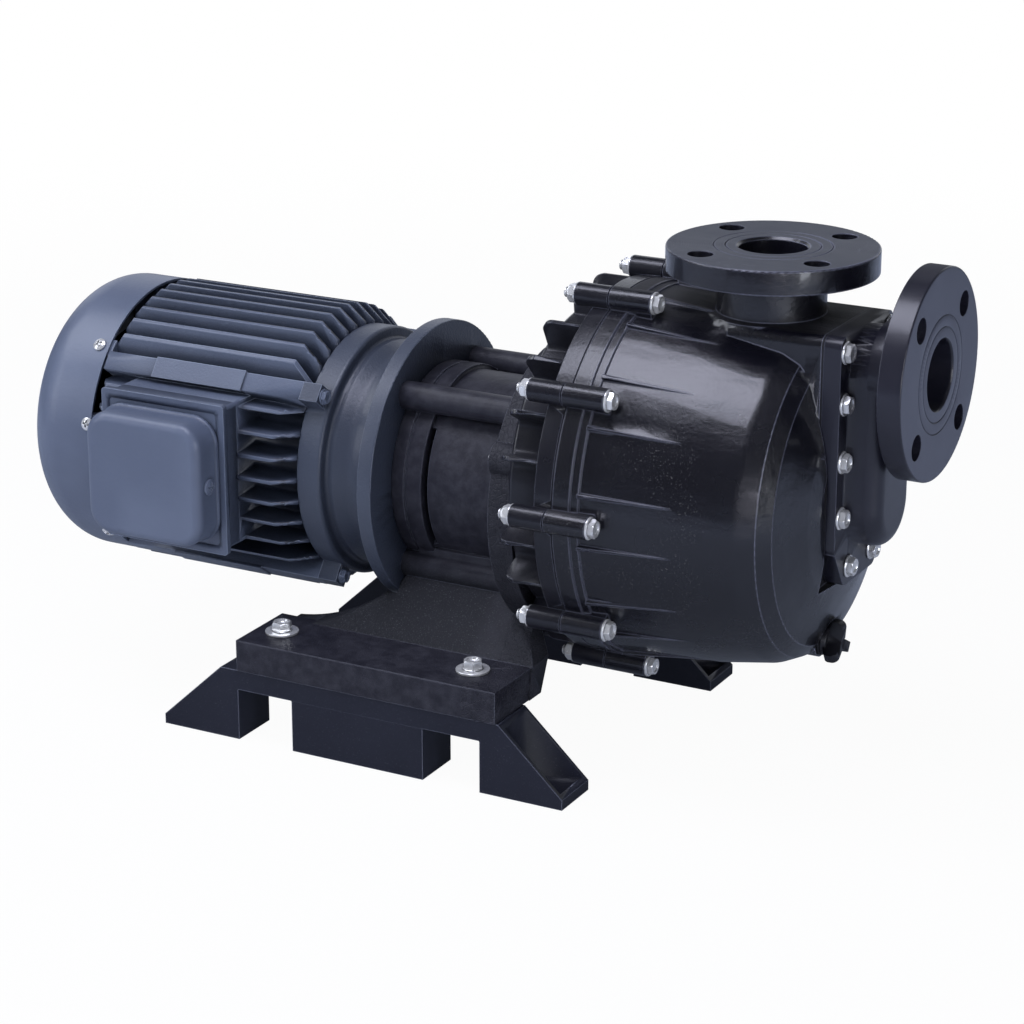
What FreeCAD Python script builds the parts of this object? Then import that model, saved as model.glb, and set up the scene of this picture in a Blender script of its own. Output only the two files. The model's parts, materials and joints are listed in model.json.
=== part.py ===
import FreeCAD, Part
import math
import os

# Self-priming chemical transfer pump with a magnetic drive, all sizes in millimetres.
# X runs along the shaft from the motor to the suction flange, Z is up from the floor and
# the origin is on the floor in the middle of the four anchor holes.

V = FreeCAD.Vector
FULL_TURN = 360.0

# Fits and seats
running_fit = 0.06          # radial play of a shaft or pin in its bush
loose_fit = 0.3             # radial play of bolts and of parts that pass each other
embed = 1.0                 # how deep a rib or boss runs into the wall that carries it
edge_break = 0.8

# Base rails
rail_length = 350.0
rail_top_length = 243.0
rail_height = 57.5
rail_width = 43.0
rail_gauge = 261.0
toe_height = 8.0
toe_side_wall = 3.5
toe_floor = 4.5
toe_lip = 3.5
toe_pocket_length = 46.0
middle_foot_length = 115.0
notch_width = 48.5
notch_height = 41.5
anchor_hole = 14.0

# Bracket casting
shaft_height = 199.0
foot_length = 225.5
foot_offset = 6.8
foot_thickness = 25.0
foot_depth = 67.0
foot_gauge = 306.0
foot_bolt_span = 168.0
foot_bolt_gauge = 243.0
foot_bolt_radius = 4.0
foot_bolt_head = 7.0
foot_bolt_flats = 14.0
foot_bolt_turn = 15.0
foot_bolt_dish_radius = 4.6
foot_bolt_dish_depth = 1.2
foot_washer_radius = 13.0
foot_washer_thickness = 2.0
bracket_face_x = -10.0
barrel_length = 101.0
barrel_radius = 75.0
barrel_wall = 5.0
band_height = 4.0
band_start = 11.0
band_width = 15.0
band_groove = 1.5
window_width = 3.5
window_half_angle = 38.0
column_radius = 11.0
column_circle_radius = 86.5
column_angle = 51.0
ring_plate_thickness = 20.0
ring_plate_radius = 112.0
ring_root_radius = 3.0
ring_lobe_radius = 13.0
casing_screw_circle_radius = 106.5
casing_screw_first_angle = 24.5
casing_screw_count = 4
casing_screw_radius = 3.0
casing_screw_grip = 5.0
screw_seat_radius = 8.0
pedestal_left_foot = -98.0
pedestal_left_neck = 2.0
pedestal_right_foot = 120.5
pedestal_heel_start = 100.0   # height where the heel leaves the casing face
pedestal_heel_top = 84.0
pedestal_half_width_foot = 96.0
pedestal_half_width_top = 58.0
pedestal_top_drop = 51.0    # its top lies this far below the shaft
pedestal_sweep_run = 55.0
pedestal_sweep_rise = 12.0
pedestal_neck_rise = 14.0
pedestal_draft = 4.0
pedestal_shoulder_radius = 20.0
pedestal_root_radius = 4.0
tunnel_half_width_foot = 82.0
tunnel_half_width_top = 58.0
tunnel_top = 108.0
tunnel_corner = 18.0
flange_clearance = 3.0        # hollow of the pedestal below the rim of the motor flange

# Motor
flange_radius = 110.0
flange_thickness = 12.0
flange_bolt_size = 10.0
flange_bolt_grip = 10.0
flange_bolt_head = 10.0
flange_bolt_head_radius = 8.0
flange_bolt_seat = 25.0
shield_neck_radius = 86.0
shield_ring_radius = 98.5
shield_ring_start = 72.0    # from the flange joint back to the ring of the end shield
shield_ring_width = 20.0    # and from there on to the start of the finned frame
shield_wall = 7.0
shield_waist = 34.0         # from the flange joint back to the waist of the neck
shield_waist_depth = 2.0
shield_shoulder_height = 3.0
shield_shoulder_width = 6.0
shield_web = 4.0
bearing_housing_wall = 8.0
frame_length = 180.0
frame_radius = 86.0
frame_wall = 8.0
fin_tip_radius = 113.0
fin_thickness = 3.2
fin_chamfer = 15.0
fin_back_chamfer = 6.0
top_fin_count = 12
top_fin_pitch = 13.3
side_fin_pitch = 17.6
side_fins_below = 4
side_fins_above = 3
bottom_fin_count = 8
bar_width = 15.0
bar_angle_top = 38.0
bar_angle_bottom = -55.0
bar_clear_angle = 4.0       # free angle between a bar and the nearest fin
bar_pad_back = 46.0
bar_pad_front = 52.0
bar_pad_height = 1.5
bar_pad_overhang = 1.0
lug_length = 16.0
lug_screw_radius = 3.0
lug_screw_circle_radius = 106.0
lug_screw_depth = 14.0
core_length = 110.0
core_offset = 33.0          # from the front end of the frame back to the core
stator_thickness = 30.0
air_gap = 0.5
winding_length = 20.0
winding_inset = 4.0
winding_rounding = 5.0
shaft_body_radius = 19.0
shaft_bearing_radius = 15.0
shaft_drive_radius = 14.0
shaft_fan_radius = 12.0
front_bearing_radius = 36.0
front_bearing_width = 19.0
rear_bearing_radius = 31.0
rear_bearing_width = 16.0
rear_bearing_setback = 11.0  # from the back of the frame to the back of the bearing
rear_shield_thickness = 10.0
rear_shield_bulge = 4.0
rear_housing_wall = 7.0
bearing_race = 5.0
bearing_gap = 0.3
key_width = 8.0
key_height = 7.0
key_sink = 4.0              # depth of the key in the shaft
key_end_gap = 2.0

# Fan and its cover
cover_radius = 112.0
cover_length = 73.0
cover_wall = 2.0
cover_dome_radius = 37.0
cover_gap = 3.0
cover_screw_setback = 12.0
side_screw_setback = 6.0
cover_screw_places = ((44.0, cover_screw_setback), (11.0, side_screw_setback), (-44.0, cover_screw_setback),
                      (136.0, cover_screw_setback), (-136.0, cover_screw_setback))
cover_screw_radius = 2.5
cover_screw_depth = 9.0
cover_screw_head_radius = 5.2
cover_screw_head_height = 3.0
cover_lug_width = 14.0
cover_lug_rim = 7.0
grille_rings = (28.0, 42.0, 56.0, 70.0)
grille_slot_width = 7.0
grille_slots_per_ring = 8
grille_bar_angle = 9.0
fan_radius = 94.0
fan_blade_count = 9
fan_width = 26.0
fan_blade_thickness = 3.0
fan_blade_chamfer = 6.0
fan_disc_share = 0.75       # the back disc covers this share of the blades
fan_disc_thickness = 3.0
fan_hub_wall = 8.0
fan_back_gap = 10.0         # from the inside of the cover to the fan

# Terminal box on the near side of the frame
box_centre_x = -181.0
box_centre_rise = 2.0
box_width = 112.0
box_height = 120.0
box_face_y = -132.0
box_depth = 22.0
box_plate_thickness = 5.0
box_plate_overhang = 3.0
box_wall = 4.0
box_corner = 3.0
box_passage_inset = 12.0
frame_passage_inset = 8.0
lid_width = 104.0
lid_offset = -2.1
lid_height = 98.0
lid_depth = 26.5
lid_corner = 20.0
lid_dome_radius = 7.0
lid_lip = 1.5
lid_lip_thickness = 3.0
lid_wall = 3.0
lid_screw_radius = 2.5
lid_screw_head_radius = 6.2
lid_screw_head_height = 3.2
lid_screw_depth = 12.0       # from the side of the lid to the tip of the screw
lid_screw_setback = 12.0    # from the seat of the lid forward to the screw
lid_screw_rise = -1.0
lid_lug_thickness = 8.0
lid_lug_half_width = 6.0
lid_lug_root = 12.0
gasket_thickness = 1.5
gasket_inset = 0.5
gasket_band = 2.5
entry_radius = 5.5
entry_plug_rim = 2.5
entry_plug_length = 8.0
entry_plug_head = 2.0
board_half_length = 34.0
board_thickness = 9.0
board_rise = 22.0
board_height = 24.0
stud_pitch = 22.0
stud_edge = 6.0
stud_radius = 2.5
stud_length = 12.0

# Rear casing with the containment can
tank_rise = 22.0            # the tank axis lies this far above the shaft
casing_depth = 48.0
casing_wall = 7.0
casing_drum_radius = 118.0
clamp_ring_radius = 142.0
clamp_ring_width = 14.0
clamp_bolt_circle_radius = 147.5
clamp_bolt_count = 10
clamp_bolt_first_angle = 18.0
clamp_boss_radius = 8.7
clamp_bolt_size = 8.0
clamp_bolt_overhang = 11.0  # length of the bolt behind the seat of its nut
clamp_nut_height = 7.0
clamp_nut_flats = 13.0
nut_flange_height = 1.8
nut_flange_radius = 8.4
rear_boss_length = 27.0
front_boss_length = 33.0
casing_gasket_thickness = 0.8
casing_fin_offset = 7.0
casing_fin_centres = (90.0, 54.0, 22.5, -17.5, -57.5, -90.0, 126.0, 157.5, 197.5, 237.5)
casing_fin_thickness = 3.2
casing_fin_radius = 141.0
casing_fin_corner = 9.0
casing_fin_setback = 2.0
can_wall = 3.0
can_depth = 81.0
can_end_wall = 4.0
can_corner = 8.0
spindle_seat_wall = 5.0
spindle_seat_depth = 8.0

# Magnetic drive and wet end
magnet_gap = 2.5
drive_hub_clearance = 3.0
magnet_setback = 4.0
magnet_spacing = 2.0
drive_magnet_thickness = 7.0
drive_magnet_length = 60.0
drive_magnet_count = 8
drive_sleeve_thickness = 4.0
hub_radius = 24.0
hub_length = 26.0
hub_disc_thickness = 7.0
capsule_length = 62.0
capsule_taper = 14.0
spindle_radius = 9.0
bush_radius = 14.0
impeller_radius = 66.0
impeller_eye_radius = 28.0
impeller_width = 24.0
shroud_thickness = 3.5
impeller_side_gap = 4.0
impeller_rim_gap = 11.0      # the shroud rim lies this far behind the eye
impeller_hub_radius = 22.0
impeller_nose_radius = 15.0
impeller_nose_length = 12.0
vane_count = 6
vane_thickness = 3.5
vane_inlet = 20.0
vane_bend = (17.0, 42.0)
vane_outlet = (46.0, 46.0)
volute_width = 36.0
volute_wall = 5.0
volute_cover = 6.0
volute_start_gap = 5.0
volute_growth = 18.0
volute_sweep = 340.0
volute_outlet_offset = 14.0
volute_outlet_length = 60.0
volute_arm_thickness = 5.0
spindle_grip = 5.0
duct_wall = 4.0

# Tank casing
tank_wall = 6.0
tank_end_wall = 18.0
clamp_step_radius = 140.5
clamp_step_width = 6.5
tank_mouth_radius = 139.0
tank_body_length = 150.0    # from the clamp joint to the first crease of the nose
tank_taper = 11.5
nose_first_radius = 121.0
nose_second_radius = 111.0
nose_third_radius = 94.0
nose_rim_radius = 75.0
nose_face_radius = 60.0
nose_rim_setback = 3.5
nose_rounding = 14.0
nose_first_step = 8.6
nose_second_step = 5.4
nose_knee = 14.0
nose_swell = 54.0
nose_swell_drop = 5.0
nose_crease_rounding = 1.0
tank_face_x_from_joint = 166.0
rib_offset = 8.0
rib_length = 78.0
rib_height = 3.5
rib_width = 5.0
rib_tip_share = 0.6          # width of a rib at its top, as a share of its foot

# Pipe flanges, both to the same 50 mm pattern
pipe_bore_radius = 25.0
pipe_flange_radius = 77.5
pipe_flange_thickness = 18.0
pipe_bolt_circle_radius = 60.0
pipe_bolt_hole = 19.0
pipe_bolt_count = 4
groove_radii = (34.0, 42.5)
groove_width = 1.0
groove_depth = 0.8
neck_radius = 40.0
neck_flare = 7.0
discharge_hole_turn = 9.0
bore_chamfer = 2.0
discharge_x_from_joint = 106.0
discharge_rise = 182.0
neck_box_length = 61.0
plate_half_width = 49.0
plate_top_rise = 133.5
plate_bottom_drop = 57.0
plate_chamfer_side = 31.0
plate_chamfer_half_width = 29.0
plate_corner = 8.0
tank_plate_thickness = 12.0
suction_gasket_thickness = 1.5
suction_plate_thickness = 13.5
suction_rise = 103.0
chamber_radius = 32.5
chamber_top_rise = 101.0
chamber_bottom_rise = 2.0
chamber_length = 26.0
chamber_edge_radius = 12.0
chamber_wall = 5.0
suction_neck_length = 12.0
suction_neck_radius = 34.0
seat_radius = 18.0
seat_thickness = 6.0
suction_bolt_half_gauge = 41.0
suction_bolt_rises = (122.0, 84.0, 41.0, -1.0)
suction_bottom_bolt_half_gauge = 22.0
suction_bottom_bolt_drop = 43.0
suction_bolt_size = 8.0

# Check valve flap
flap_radius = 24.0
flap_thickness = 5.0
flap_pin_radius = 2.0
flap_pin_drop = 4.0         # the pin lies this far below the top of the disc
flap_pin_offset = 9.0       # and this far behind its seat face
flap_eye_radius = 4.0
flap_eye_length = 14.0
pin_grip = 3.0

# Drain plug
drain_drop = 113.0
drain_boss_radius = 13.0
drain_boss_length = 30.0
drain_boss_reach = 154.0    # from the clamp joint to the boss face
drain_stem_radius = 7.0
drain_stem_length = 16.0
drain_cap_radius = 11.5
drain_cap_length = 5.0
drain_wing_count = 3
drain_wing_reach = 17.0
drain_wing_length = 11.0
drain_wing_thickness = 7.5
drain_seal_thickness = 2.0
drain_pocket_radius = 18.5

# Sizes and places that follow from the sizes above
band_radius = barrel_radius + band_height
pedestal_top = shaft_height - pedestal_top_drop
magnet_outer_radius = barrel_radius - barrel_wall - drive_hub_clearance - drive_sleeve_thickness
can_inner_radius = magnet_outer_radius - drive_magnet_thickness - magnet_gap - can_wall
capsule_radius = can_inner_radius - magnet_gap
rotor_radius = frame_radius - frame_wall - stator_thickness - air_gap
tank_height = shaft_height + tank_rise
frame_front_x = bracket_face_x - shield_ring_start
frame_back_x = frame_front_x - frame_length
ring_plate_x = bracket_face_x + barrel_length
casing_back_x = ring_plate_x + ring_plate_thickness
joint_x = casing_back_x + casing_depth
discharge_x = joint_x + discharge_x_from_joint
discharge_z = tank_height + discharge_rise
tank_face_x = joint_x + tank_face_x_from_joint
plate_back_x = tank_face_x + suction_gasket_thickness
plate_front_x = plate_back_x + suction_plate_thickness
chamber_end_x = plate_front_x + chamber_length
suction_z = tank_height + suction_rise
suction_flange_x = chamber_end_x + suction_neck_length
suction_face_x = suction_flange_x + pipe_flange_thickness
front_bearing_x = frame_front_x + 22.0
core_front_x = frame_front_x - core_offset
core_back_x = core_front_x - core_length
cover_back_x = frame_back_x - cover_length
can_end_x = casing_back_x - can_depth


# General shapes

def block(x0, x1, y0, y1, z0, z1):
    return Part.makeBox(x1 - x0, y1 - y0, z1 - z0, V(x0, y0, z0))


def rod(x0, x1, radius, y=0.0, z=0.0):
    """Cylinder along X."""
    return Part.makeCylinder(radius, x1 - x0, V(x0, y, z), V(1, 0, 0))


def post(x, y, z0, z1, radius):
    """Cylinder along Z."""
    return Part.makeCylinder(radius, z1 - z0, V(x, y, z0), V(0, 0, 1))


def outline(corners, place):
    """Face inside a closed outline; each corner is (u, v) or (u, v, rounding radius)."""
    count = len(corners)
    starts = []
    ends = []
    arcs = []
    for i, corner in enumerate(corners):
        here = V(corner[0], corner[1], 0)
        radius = corner[2] if len(corner) > 2 else 0.0
        if radius == 0.0:
            starts.append(here)
            ends.append(here)
            arcs.append(None)
            continue
        before = V(corners[i - 1][0], corners[i - 1][1], 0) - here
        after = V(corners[(i + 1) % count][0], corners[(i + 1) % count][1], 0) - here
        before.normalize()
        after.normalize()
        half = before.getAngle(after) / 2
        middle = before + after
        middle.normalize()
        starts.append(here + before * (radius / math.tan(half)))
        ends.append(here + after * (radius / math.tan(half)))
        arcs.append(here + middle * (radius / math.sin(half) - radius))
    edges = []
    for i in range(count):
        if arcs[i] is not None:
            arc = Part.Arc(place(starts[i]), place(arcs[i]), place(ends[i]))
            edges.append(arc.toShape())
        following = (i + 1) % count
        if ends[i].distanceToPoint(starts[following]) > 1e-6:
            edges.append(Part.makeLine(place(ends[i]), place(starts[following])))
    return Part.Face(Part.Wire(edges))


def turned(corners, z=0.0):
    """Solid of revolution about X at height z, from an outline of (x, radius) corners."""
    face = outline(corners, lambda p: V(p.x, 0, z + p.y))
    return face.revolve(V(0, 0, z), V(1, 0, 0), FULL_TURN)


def turned_upright(corners, x=0.0, y=0.0):
    """Solid of revolution about Z, from an outline of (radius, z) corners."""
    face = outline(corners, lambda p: V(x + p.x, y, p.y))
    return face.revolve(V(x, y, 0), V(0, 0, 1), FULL_TURN)


def along_y(corners, y0, y1):
    """Prism from an outline of (x, z) corners."""
    return outline(corners, lambda p: V(p.x, y0, p.y)).extrude(V(0, y1 - y0, 0))


def along_x(corners, x0, x1):
    """Prism from an outline of (y, z) corners."""
    return outline(corners, lambda p: V(x0, p.x, p.y)).extrude(V(x1 - x0, 0, 0))


def along_z(corners, z0, z1):
    """Prism from an outline of (x, y) corners."""
    return outline(corners, lambda p: V(p.x, p.y, z0)).extrude(V(0, 0, z1 - z0))


def turn_x(shape, angle, z):
    """Copy turned about the X axis at height z; a positive angle lifts the near side."""
    copy = shape.copy()
    copy.rotate(V(0, 0, z), V(1, 0, 0), -angle)
    return copy


def near_side(radius, angle, z):
    """Point (y, z) at an angle above the near horizontal, seen along the shaft."""
    turn = math.radians(angle)
    return -radius * math.cos(turn), z + radius * math.sin(turn)


def join(first, others):
    return first.fuse(others).removeSplitter()


def hexagon(across_flats, u, v, first_angle):
    """Corners of a hexagon about (u, v)."""
    corner = across_flats / math.sqrt(3)
    points = []
    for i in range(6):
        turn = math.radians(60 * i + first_angle)
        points.append((u + corner * math.cos(turn), v + corner * math.sin(turn)))
    return points


def hexagon_rod(x0, x1, across_flats, y, z):
    """Hexagonal prism along X with a flat on top."""
    return along_x(hexagon(across_flats, y, z, 0), x0, x1)


def pan_head_screw(radius, depth, head_radius, head_height):
    """Round-headed screw standing on the origin: shank down to -depth, head above height 0."""
    dome = head_height / 2
    head = turned_upright([(0, 0), (head_radius, 0), (head_radius, dome, 0.8 * dome),
                           (head_radius / 2, head_height, dome), (0, head_height)])
    return head.fuse(post(0, 0, -depth, 0, radius))


def bolt_along_x(head_x, tip_x, size, y, z):
    """Hexagon flange bolt along X with its head seat at head_x and its tip at tip_x."""
    way = 1 if head_x > tip_x else -1
    head = 0.75 * size
    flange = 0.22 * size
    low, high = sorted((tip_x, head_x))
    shank = rod(low, high, size / 2, y, z)
    low, high = sorted((head_x, head_x + way * flange))
    collar = rod(low, high, 1.05 * size, y, z)
    low, high = sorted((head_x, head_x + way * head))
    return shank.fuse([collar, hexagon_rod(low, high, 1.55 * size, y, z)])


def export(name, shapes):
    """Write one node, whether it is one solid or a group of equal pieces."""
    if not isinstance(shapes, list):
        shapes = [shapes]
    solids = []
    for shape in shapes:
        solids.extend(shape.Solids)
    result = solids[0] if len(solids) == 1 else Part.makeCompound(solids)
    result.exportStep(os.path.join("parts", name + ".step"))
    print(name, len(solids), round(result.Volume))


# Base

def anchor_points():
    half = rail_length / 2 - toe_lip - toe_pocket_length / 2
    return [(sx * half, sy * rail_gauge / 2) for sx in (-1, 1) for sy in (-1, 1)]


def base_rail(side):
    """One moulded rail with sloping ends, two notches and a pocket in each toe."""
    half = rail_length / 2
    top = rail_top_length / 2
    inner = middle_foot_length / 2
    outer = inner + notch_width
    corners = [(-half, 0), (-half, toe_height), (-top, rail_height), (top, rail_height),
               (half, toe_height), (half, 0), (outer, 0), (outer, notch_height, edge_break),
               (inner, notch_height, edge_break), (inner, 0), (-inner, 0),
               (-inner, notch_height, edge_break), (-outer, notch_height, edge_break), (-outer, 0)]
    middle = side * rail_gauge / 2
    rail = along_y(corners, middle - rail_width / 2, middle + rail_width / 2)
    cuts = []
    pocket_half = rail_width / 2 - toe_side_wall
    for way in (-1, 1):
        low, high = sorted((way * (half - toe_lip), way * (half - toe_lip - toe_pocket_length)))
        cuts.append(block(low, high, middle - pocket_half, middle + pocket_half,
                          toe_floor, rail_height + embed))
    for x, y in anchor_points():
        if y * side > 0:
            cuts.append(post(x, y, -embed, rail_height, anchor_hole / 2))
    for x, y in foot_bolt_points():
        if y * side > 0:
            cuts.append(post(x, y, notch_height, rail_height + embed, foot_bolt_radius))
    return rail.cut(cuts)


def foot_bolt_points():
    return [(sx * foot_bolt_span / 2, sy * foot_bolt_gauge / 2) for sx in (-1, 1) for sy in (-1, 1)]


def base_washers():
    seat = rail_height + foot_thickness
    washers = []
    for x, y in foot_bolt_points():
        corners = [(foot_bolt_radius, seat), (foot_washer_radius, seat),
                   (foot_washer_radius, seat + foot_washer_thickness, edge_break),
                   (foot_bolt_radius, seat + foot_washer_thickness)]
        washers.append(turned_upright(corners, x, y))
    return washers


def base_bolts():
    seat = rail_height + foot_thickness + foot_washer_thickness
    top = seat + foot_bolt_head
    bolts = []
    for x, y in foot_bolt_points():
        head = along_z(hexagon(foot_bolt_flats, x, y, foot_bolt_turn), seat, top)
        dish = post(x, y, top - foot_bolt_dish_depth, top + embed, foot_bolt_dish_radius)
        bolts.append(head.cut(dish).fuse(post(x, y, notch_height + edge_break, seat, foot_bolt_radius)))
    return bolts


# Bracket

def column_points():
    return [near_side(column_circle_radius, a, shaft_height)
            for a in (column_angle, -column_angle, 180 - column_angle, 180 + column_angle)]


def casing_screw_points():
    step = FULL_TURN / casing_screw_count
    return [near_side(casing_screw_circle_radius, casing_screw_first_angle + i * step, shaft_height)
            for i in range(casing_screw_count)]


def foot(side):
    middle = foot_offset
    edge = foot_gauge / 2
    low, high = sorted((side * edge, side * (edge - foot_depth)))
    top = rail_height + foot_thickness
    corners = [(low, rail_height), (high, rail_height), (high, top, edge_break), (low, top, edge_break)]
    return along_x(corners, middle - foot_length / 2, middle + foot_length / 2)


def pedestal():
    """Hollow saddle between the feet and the barrel, with a hollow sweep on the motor side."""
    foot_top = rail_height + foot_thickness
    sweep = [V(pedestal_left_foot, 0, foot_top - 4 * embed),
             V(pedestal_left_foot + pedestal_sweep_run, 0, foot_top + pedestal_sweep_rise),
             V(pedestal_left_neck, 0, shaft_height - band_radius + pedestal_neck_rise)]
    curve = Part.BSplineCurve()
    curve.interpolate(sweep)
    right = pedestal_right_foot
    top_left = V(pedestal_left_neck, 0, pedestal_top)
    top_right = V(casing_back_x, 0, pedestal_top)
    edges = [curve.toShape(),
             Part.makeLine(sweep[2], top_left),
             Part.makeLine(top_left, top_right),
             Part.makeLine(top_right, V(casing_back_x, 0, pedestal_heel_start)),
             Part.makeLine(V(casing_back_x, 0, pedestal_heel_start), V(right, 0, pedestal_heel_top)),
             Part.makeLine(V(right, 0, pedestal_heel_top), V(right, 0, rail_height)),
             Part.makeLine(V(right, 0, rail_height), V(pedestal_left_foot, 0, rail_height)),
             Part.makeLine(V(pedestal_left_foot, 0, rail_height), sweep[0])]
    reach = foot_gauge / 2
    side_view = Part.Face(Part.Wire(edges))
    side_view.translate(V(0, -reach, 0))
    body = side_view.extrude(V(0, 2 * reach, 0))
    shoulder = shaft_height - barrel_radius + pedestal_draft
    low = pedestal_half_width_foot
    high = pedestal_half_width_top
    end_view = [(-low - pedestal_draft, rail_height), (-low, foot_top, pedestal_root_radius),
                (-high, shoulder, pedestal_shoulder_radius), (-high, pedestal_top),
                (high, pedestal_top), (high, shoulder, pedestal_shoulder_radius),
                (low, foot_top, pedestal_root_radius), (low + pedestal_draft, rail_height)]
    return body.common(along_x(end_view, pedestal_left_foot - embed, right + embed))


def pedestal_tunnel():
    corners = [(-tunnel_half_width_foot, rail_height - embed),
               (-tunnel_half_width_top, tunnel_top, tunnel_corner),
               (tunnel_half_width_top, tunnel_top, tunnel_corner),
               (tunnel_half_width_foot, rail_height - embed)]
    return along_x(corners, pedestal_left_foot - embed, pedestal_right_foot + 2 * foot_thickness)


def motor_bracket():
    """Casting that carries the motor and the pump on two feet."""
    inner = barrel_radius - barrel_wall
    start = bracket_face_x
    barrel = turned([(start, inner), (start, band_radius, edge_break),
                     (start + band_start, band_radius, edge_break),
                     (start + band_start, band_radius - band_groove),
                     (start + band_start + band_groove, band_radius - band_groove),
                     (start + band_start + band_groove, band_radius, edge_break),
                     (start + band_start + band_width, band_radius, edge_break),
                     (start + band_start + band_width, barrel_radius),
                     (ring_plate_x, barrel_radius, ring_root_radius),
                     (ring_plate_x, ring_plate_radius, edge_break),
                     (casing_back_x, ring_plate_radius, edge_break), (casing_back_x, inner)],
                    shaft_height)
    saddle = pedestal().fuse([foot(-1), foot(1)])
    clearance = rod(pedestal_left_foot - embed, start, flange_radius + flange_clearance, 0, shaft_height)
    added = [saddle.cut([clearance, pedestal_tunnel()])]
    for y, z in column_points():
        added.append(rod(start, ring_plate_x + embed, column_radius, y, z))
    for y, z in casing_screw_points():
        added.append(rod(ring_plate_x, casing_back_x, ring_lobe_radius, y, z))
    casting = barrel.fuse(added)
    cuts = [rod(start - embed, casing_back_x + embed, inner, 0, shaft_height)]
    window_start = start + band_start + band_width
    slot = turned([(window_start, inner - embed), (window_start, barrel_radius + embed),
                   (window_start + window_width, barrel_radius + embed),
                   (window_start + window_width, inner - embed)], shaft_height)
    reach = 2 * barrel_radius
    rise = reach * math.tan(math.radians(window_half_angle))
    for way in (-1, 1):
        wedge = along_x([(0, shaft_height), (way * reach, shaft_height - rise),
                         (way * reach, shaft_height + rise)], window_start, window_start + window_width)
        cuts.append(slot.common(wedge))
    for y, z in column_points():
        cuts.append(rod(start - embed, start + flange_bolt_seat, flange_bolt_size / 2 + loose_fit, y, z))
        cuts.append(rod(start + flange_bolt_seat, casing_back_x + embed, flange_bolt_head_radius + loose_fit, y, z))
    for y, z in casing_screw_points():
        cuts.append(rod(ring_plate_x - embed, casing_back_x + embed, casing_screw_radius, y, z))
        cuts.append(rod(ring_plate_x - screw_seat_radius, ring_plate_x, screw_seat_radius, y, z))
    for x, y in foot_bolt_points():
        cuts.append(post(x, y, rail_height - embed, rail_height + foot_thickness + embed,
                         foot_bolt_radius + loose_fit))
    return casting.cut(cuts)


def casing_screws():
    """Short hexagon screws through the ring plate into the rear casing."""
    return [bolt_along_x(ring_plate_x, casing_back_x + casing_screw_grip, 2 * casing_screw_radius, y, z)
            for y, z in casing_screw_points()]


def motor_flange_bolts():
    """Cap screws deep inside the columns, set from the pump side into the motor flange."""
    seat = bracket_face_x + flange_bolt_seat
    screws = []
    for y, z in column_points():
        shank = rod(bracket_face_x - flange_bolt_grip, seat, flange_bolt_size / 2, y, z)
        screws.append(shank.fuse(rod(seat, seat + flange_bolt_head, flange_bolt_head_radius, y, z)))
    return screws


# Motor

def bar_angles():
    return (bar_angle_top, bar_angle_bottom, 180 - bar_angle_top, 180 - bar_angle_bottom)


def lug_screw_points():
    return [near_side(lug_screw_circle_radius, a, shaft_height) for a in bar_angles()]


def radial_block(x0, x1, r0, r1, width, angle):
    """Block standing out from the shaft axis at an angle above the near horizontal."""
    stand = block(x0, x1, -r1, -r0, shaft_height - width / 2, shaft_height + width / 2)
    return turn_x(stand, angle, shaft_height)


def motor_end_shield():
    """Drive-end shield: bearing housing, neck with a hollow waist, and the mounting flange."""
    face = bracket_face_x
    flange_back = face - flange_thickness
    back = frame_front_x
    ring_front = back + shield_ring_width
    seat_x = front_bearing_x
    spigot = frame_radius - frame_wall
    inner = shield_neck_radius - shield_wall - shield_web
    opening = barrel_radius - barrel_wall
    hub = front_bearing_radius + bearing_housing_wall
    waist = shield_neck_radius - shield_waist_depth
    shoulder = shield_neck_radius + shield_shoulder_height
    bearing_end = seat_x + front_bearing_width
    seal = shaft_drive_radius + 3
    lip = spigot - shield_web - embed
    corners = [(face, opening), (face, flange_radius, edge_break), (flange_back, flange_radius, edge_break),
               (flange_back, shield_neck_radius + shield_waist_depth, shield_shoulder_width),
               (face - shield_waist, waist, 2 * shield_wall),
               (ring_front + shield_shoulder_width, shoulder, 4), (ring_front, shoulder, 3),
               (ring_front, shield_ring_radius, 3), (back, shield_ring_radius, edge_break),
               (back, spigot), (back - shield_web, spigot), (back - shield_web, lip),
               (seat_x - 6, lip, 3), (seat_x - 6, hub, 3), (seat_x - 10, hub),
               (seat_x - 10, front_bearing_radius), (bearing_end, front_bearing_radius), (bearing_end, seal),
               (bearing_end + shield_web, seal), (bearing_end + shield_web, hub - 3, 4),
               (seat_x + 5, hub + shield_web, 4), (seat_x + 5, inner, 5), (flange_back, inner, 3),
               (flange_back, opening, 1)]
    shield = turned(corners, shaft_height)
    lugs = [radial_block(back, back + lug_length, shield_neck_radius, fin_tip_radius, bar_width, a)
            for a in bar_angles()]
    holes = [rod(back - embed, back + lug_length + embed, lug_screw_radius, y, z)
             for y, z in lug_screw_points()]
    holes += [rod(face - flange_bolt_grip, face + embed, flange_bolt_size / 2, y, z)
              for y, z in column_points()]
    return shield.fuse(lugs).cut(holes)


def end_shield_bolts():
    return [bolt_along_x(frame_front_x + lug_length, frame_front_x - lug_screw_depth, 2 * lug_screw_radius, y, z)
            for y, z in lug_screw_points()]


def fin_envelope():
    """Outer form that all the fins are trimmed to: tip radius with sloping ends."""
    front = frame_front_x
    back = frame_back_x
    root = frame_radius - embed
    return turned([(back, root), (back, fin_tip_radius - fin_back_chamfer),
                   (back + fin_back_chamfer, fin_tip_radius),
                   (front - fin_chamfer, fin_tip_radius), (front, shield_ring_radius + 2), (front, root)],
                  shaft_height)


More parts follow.
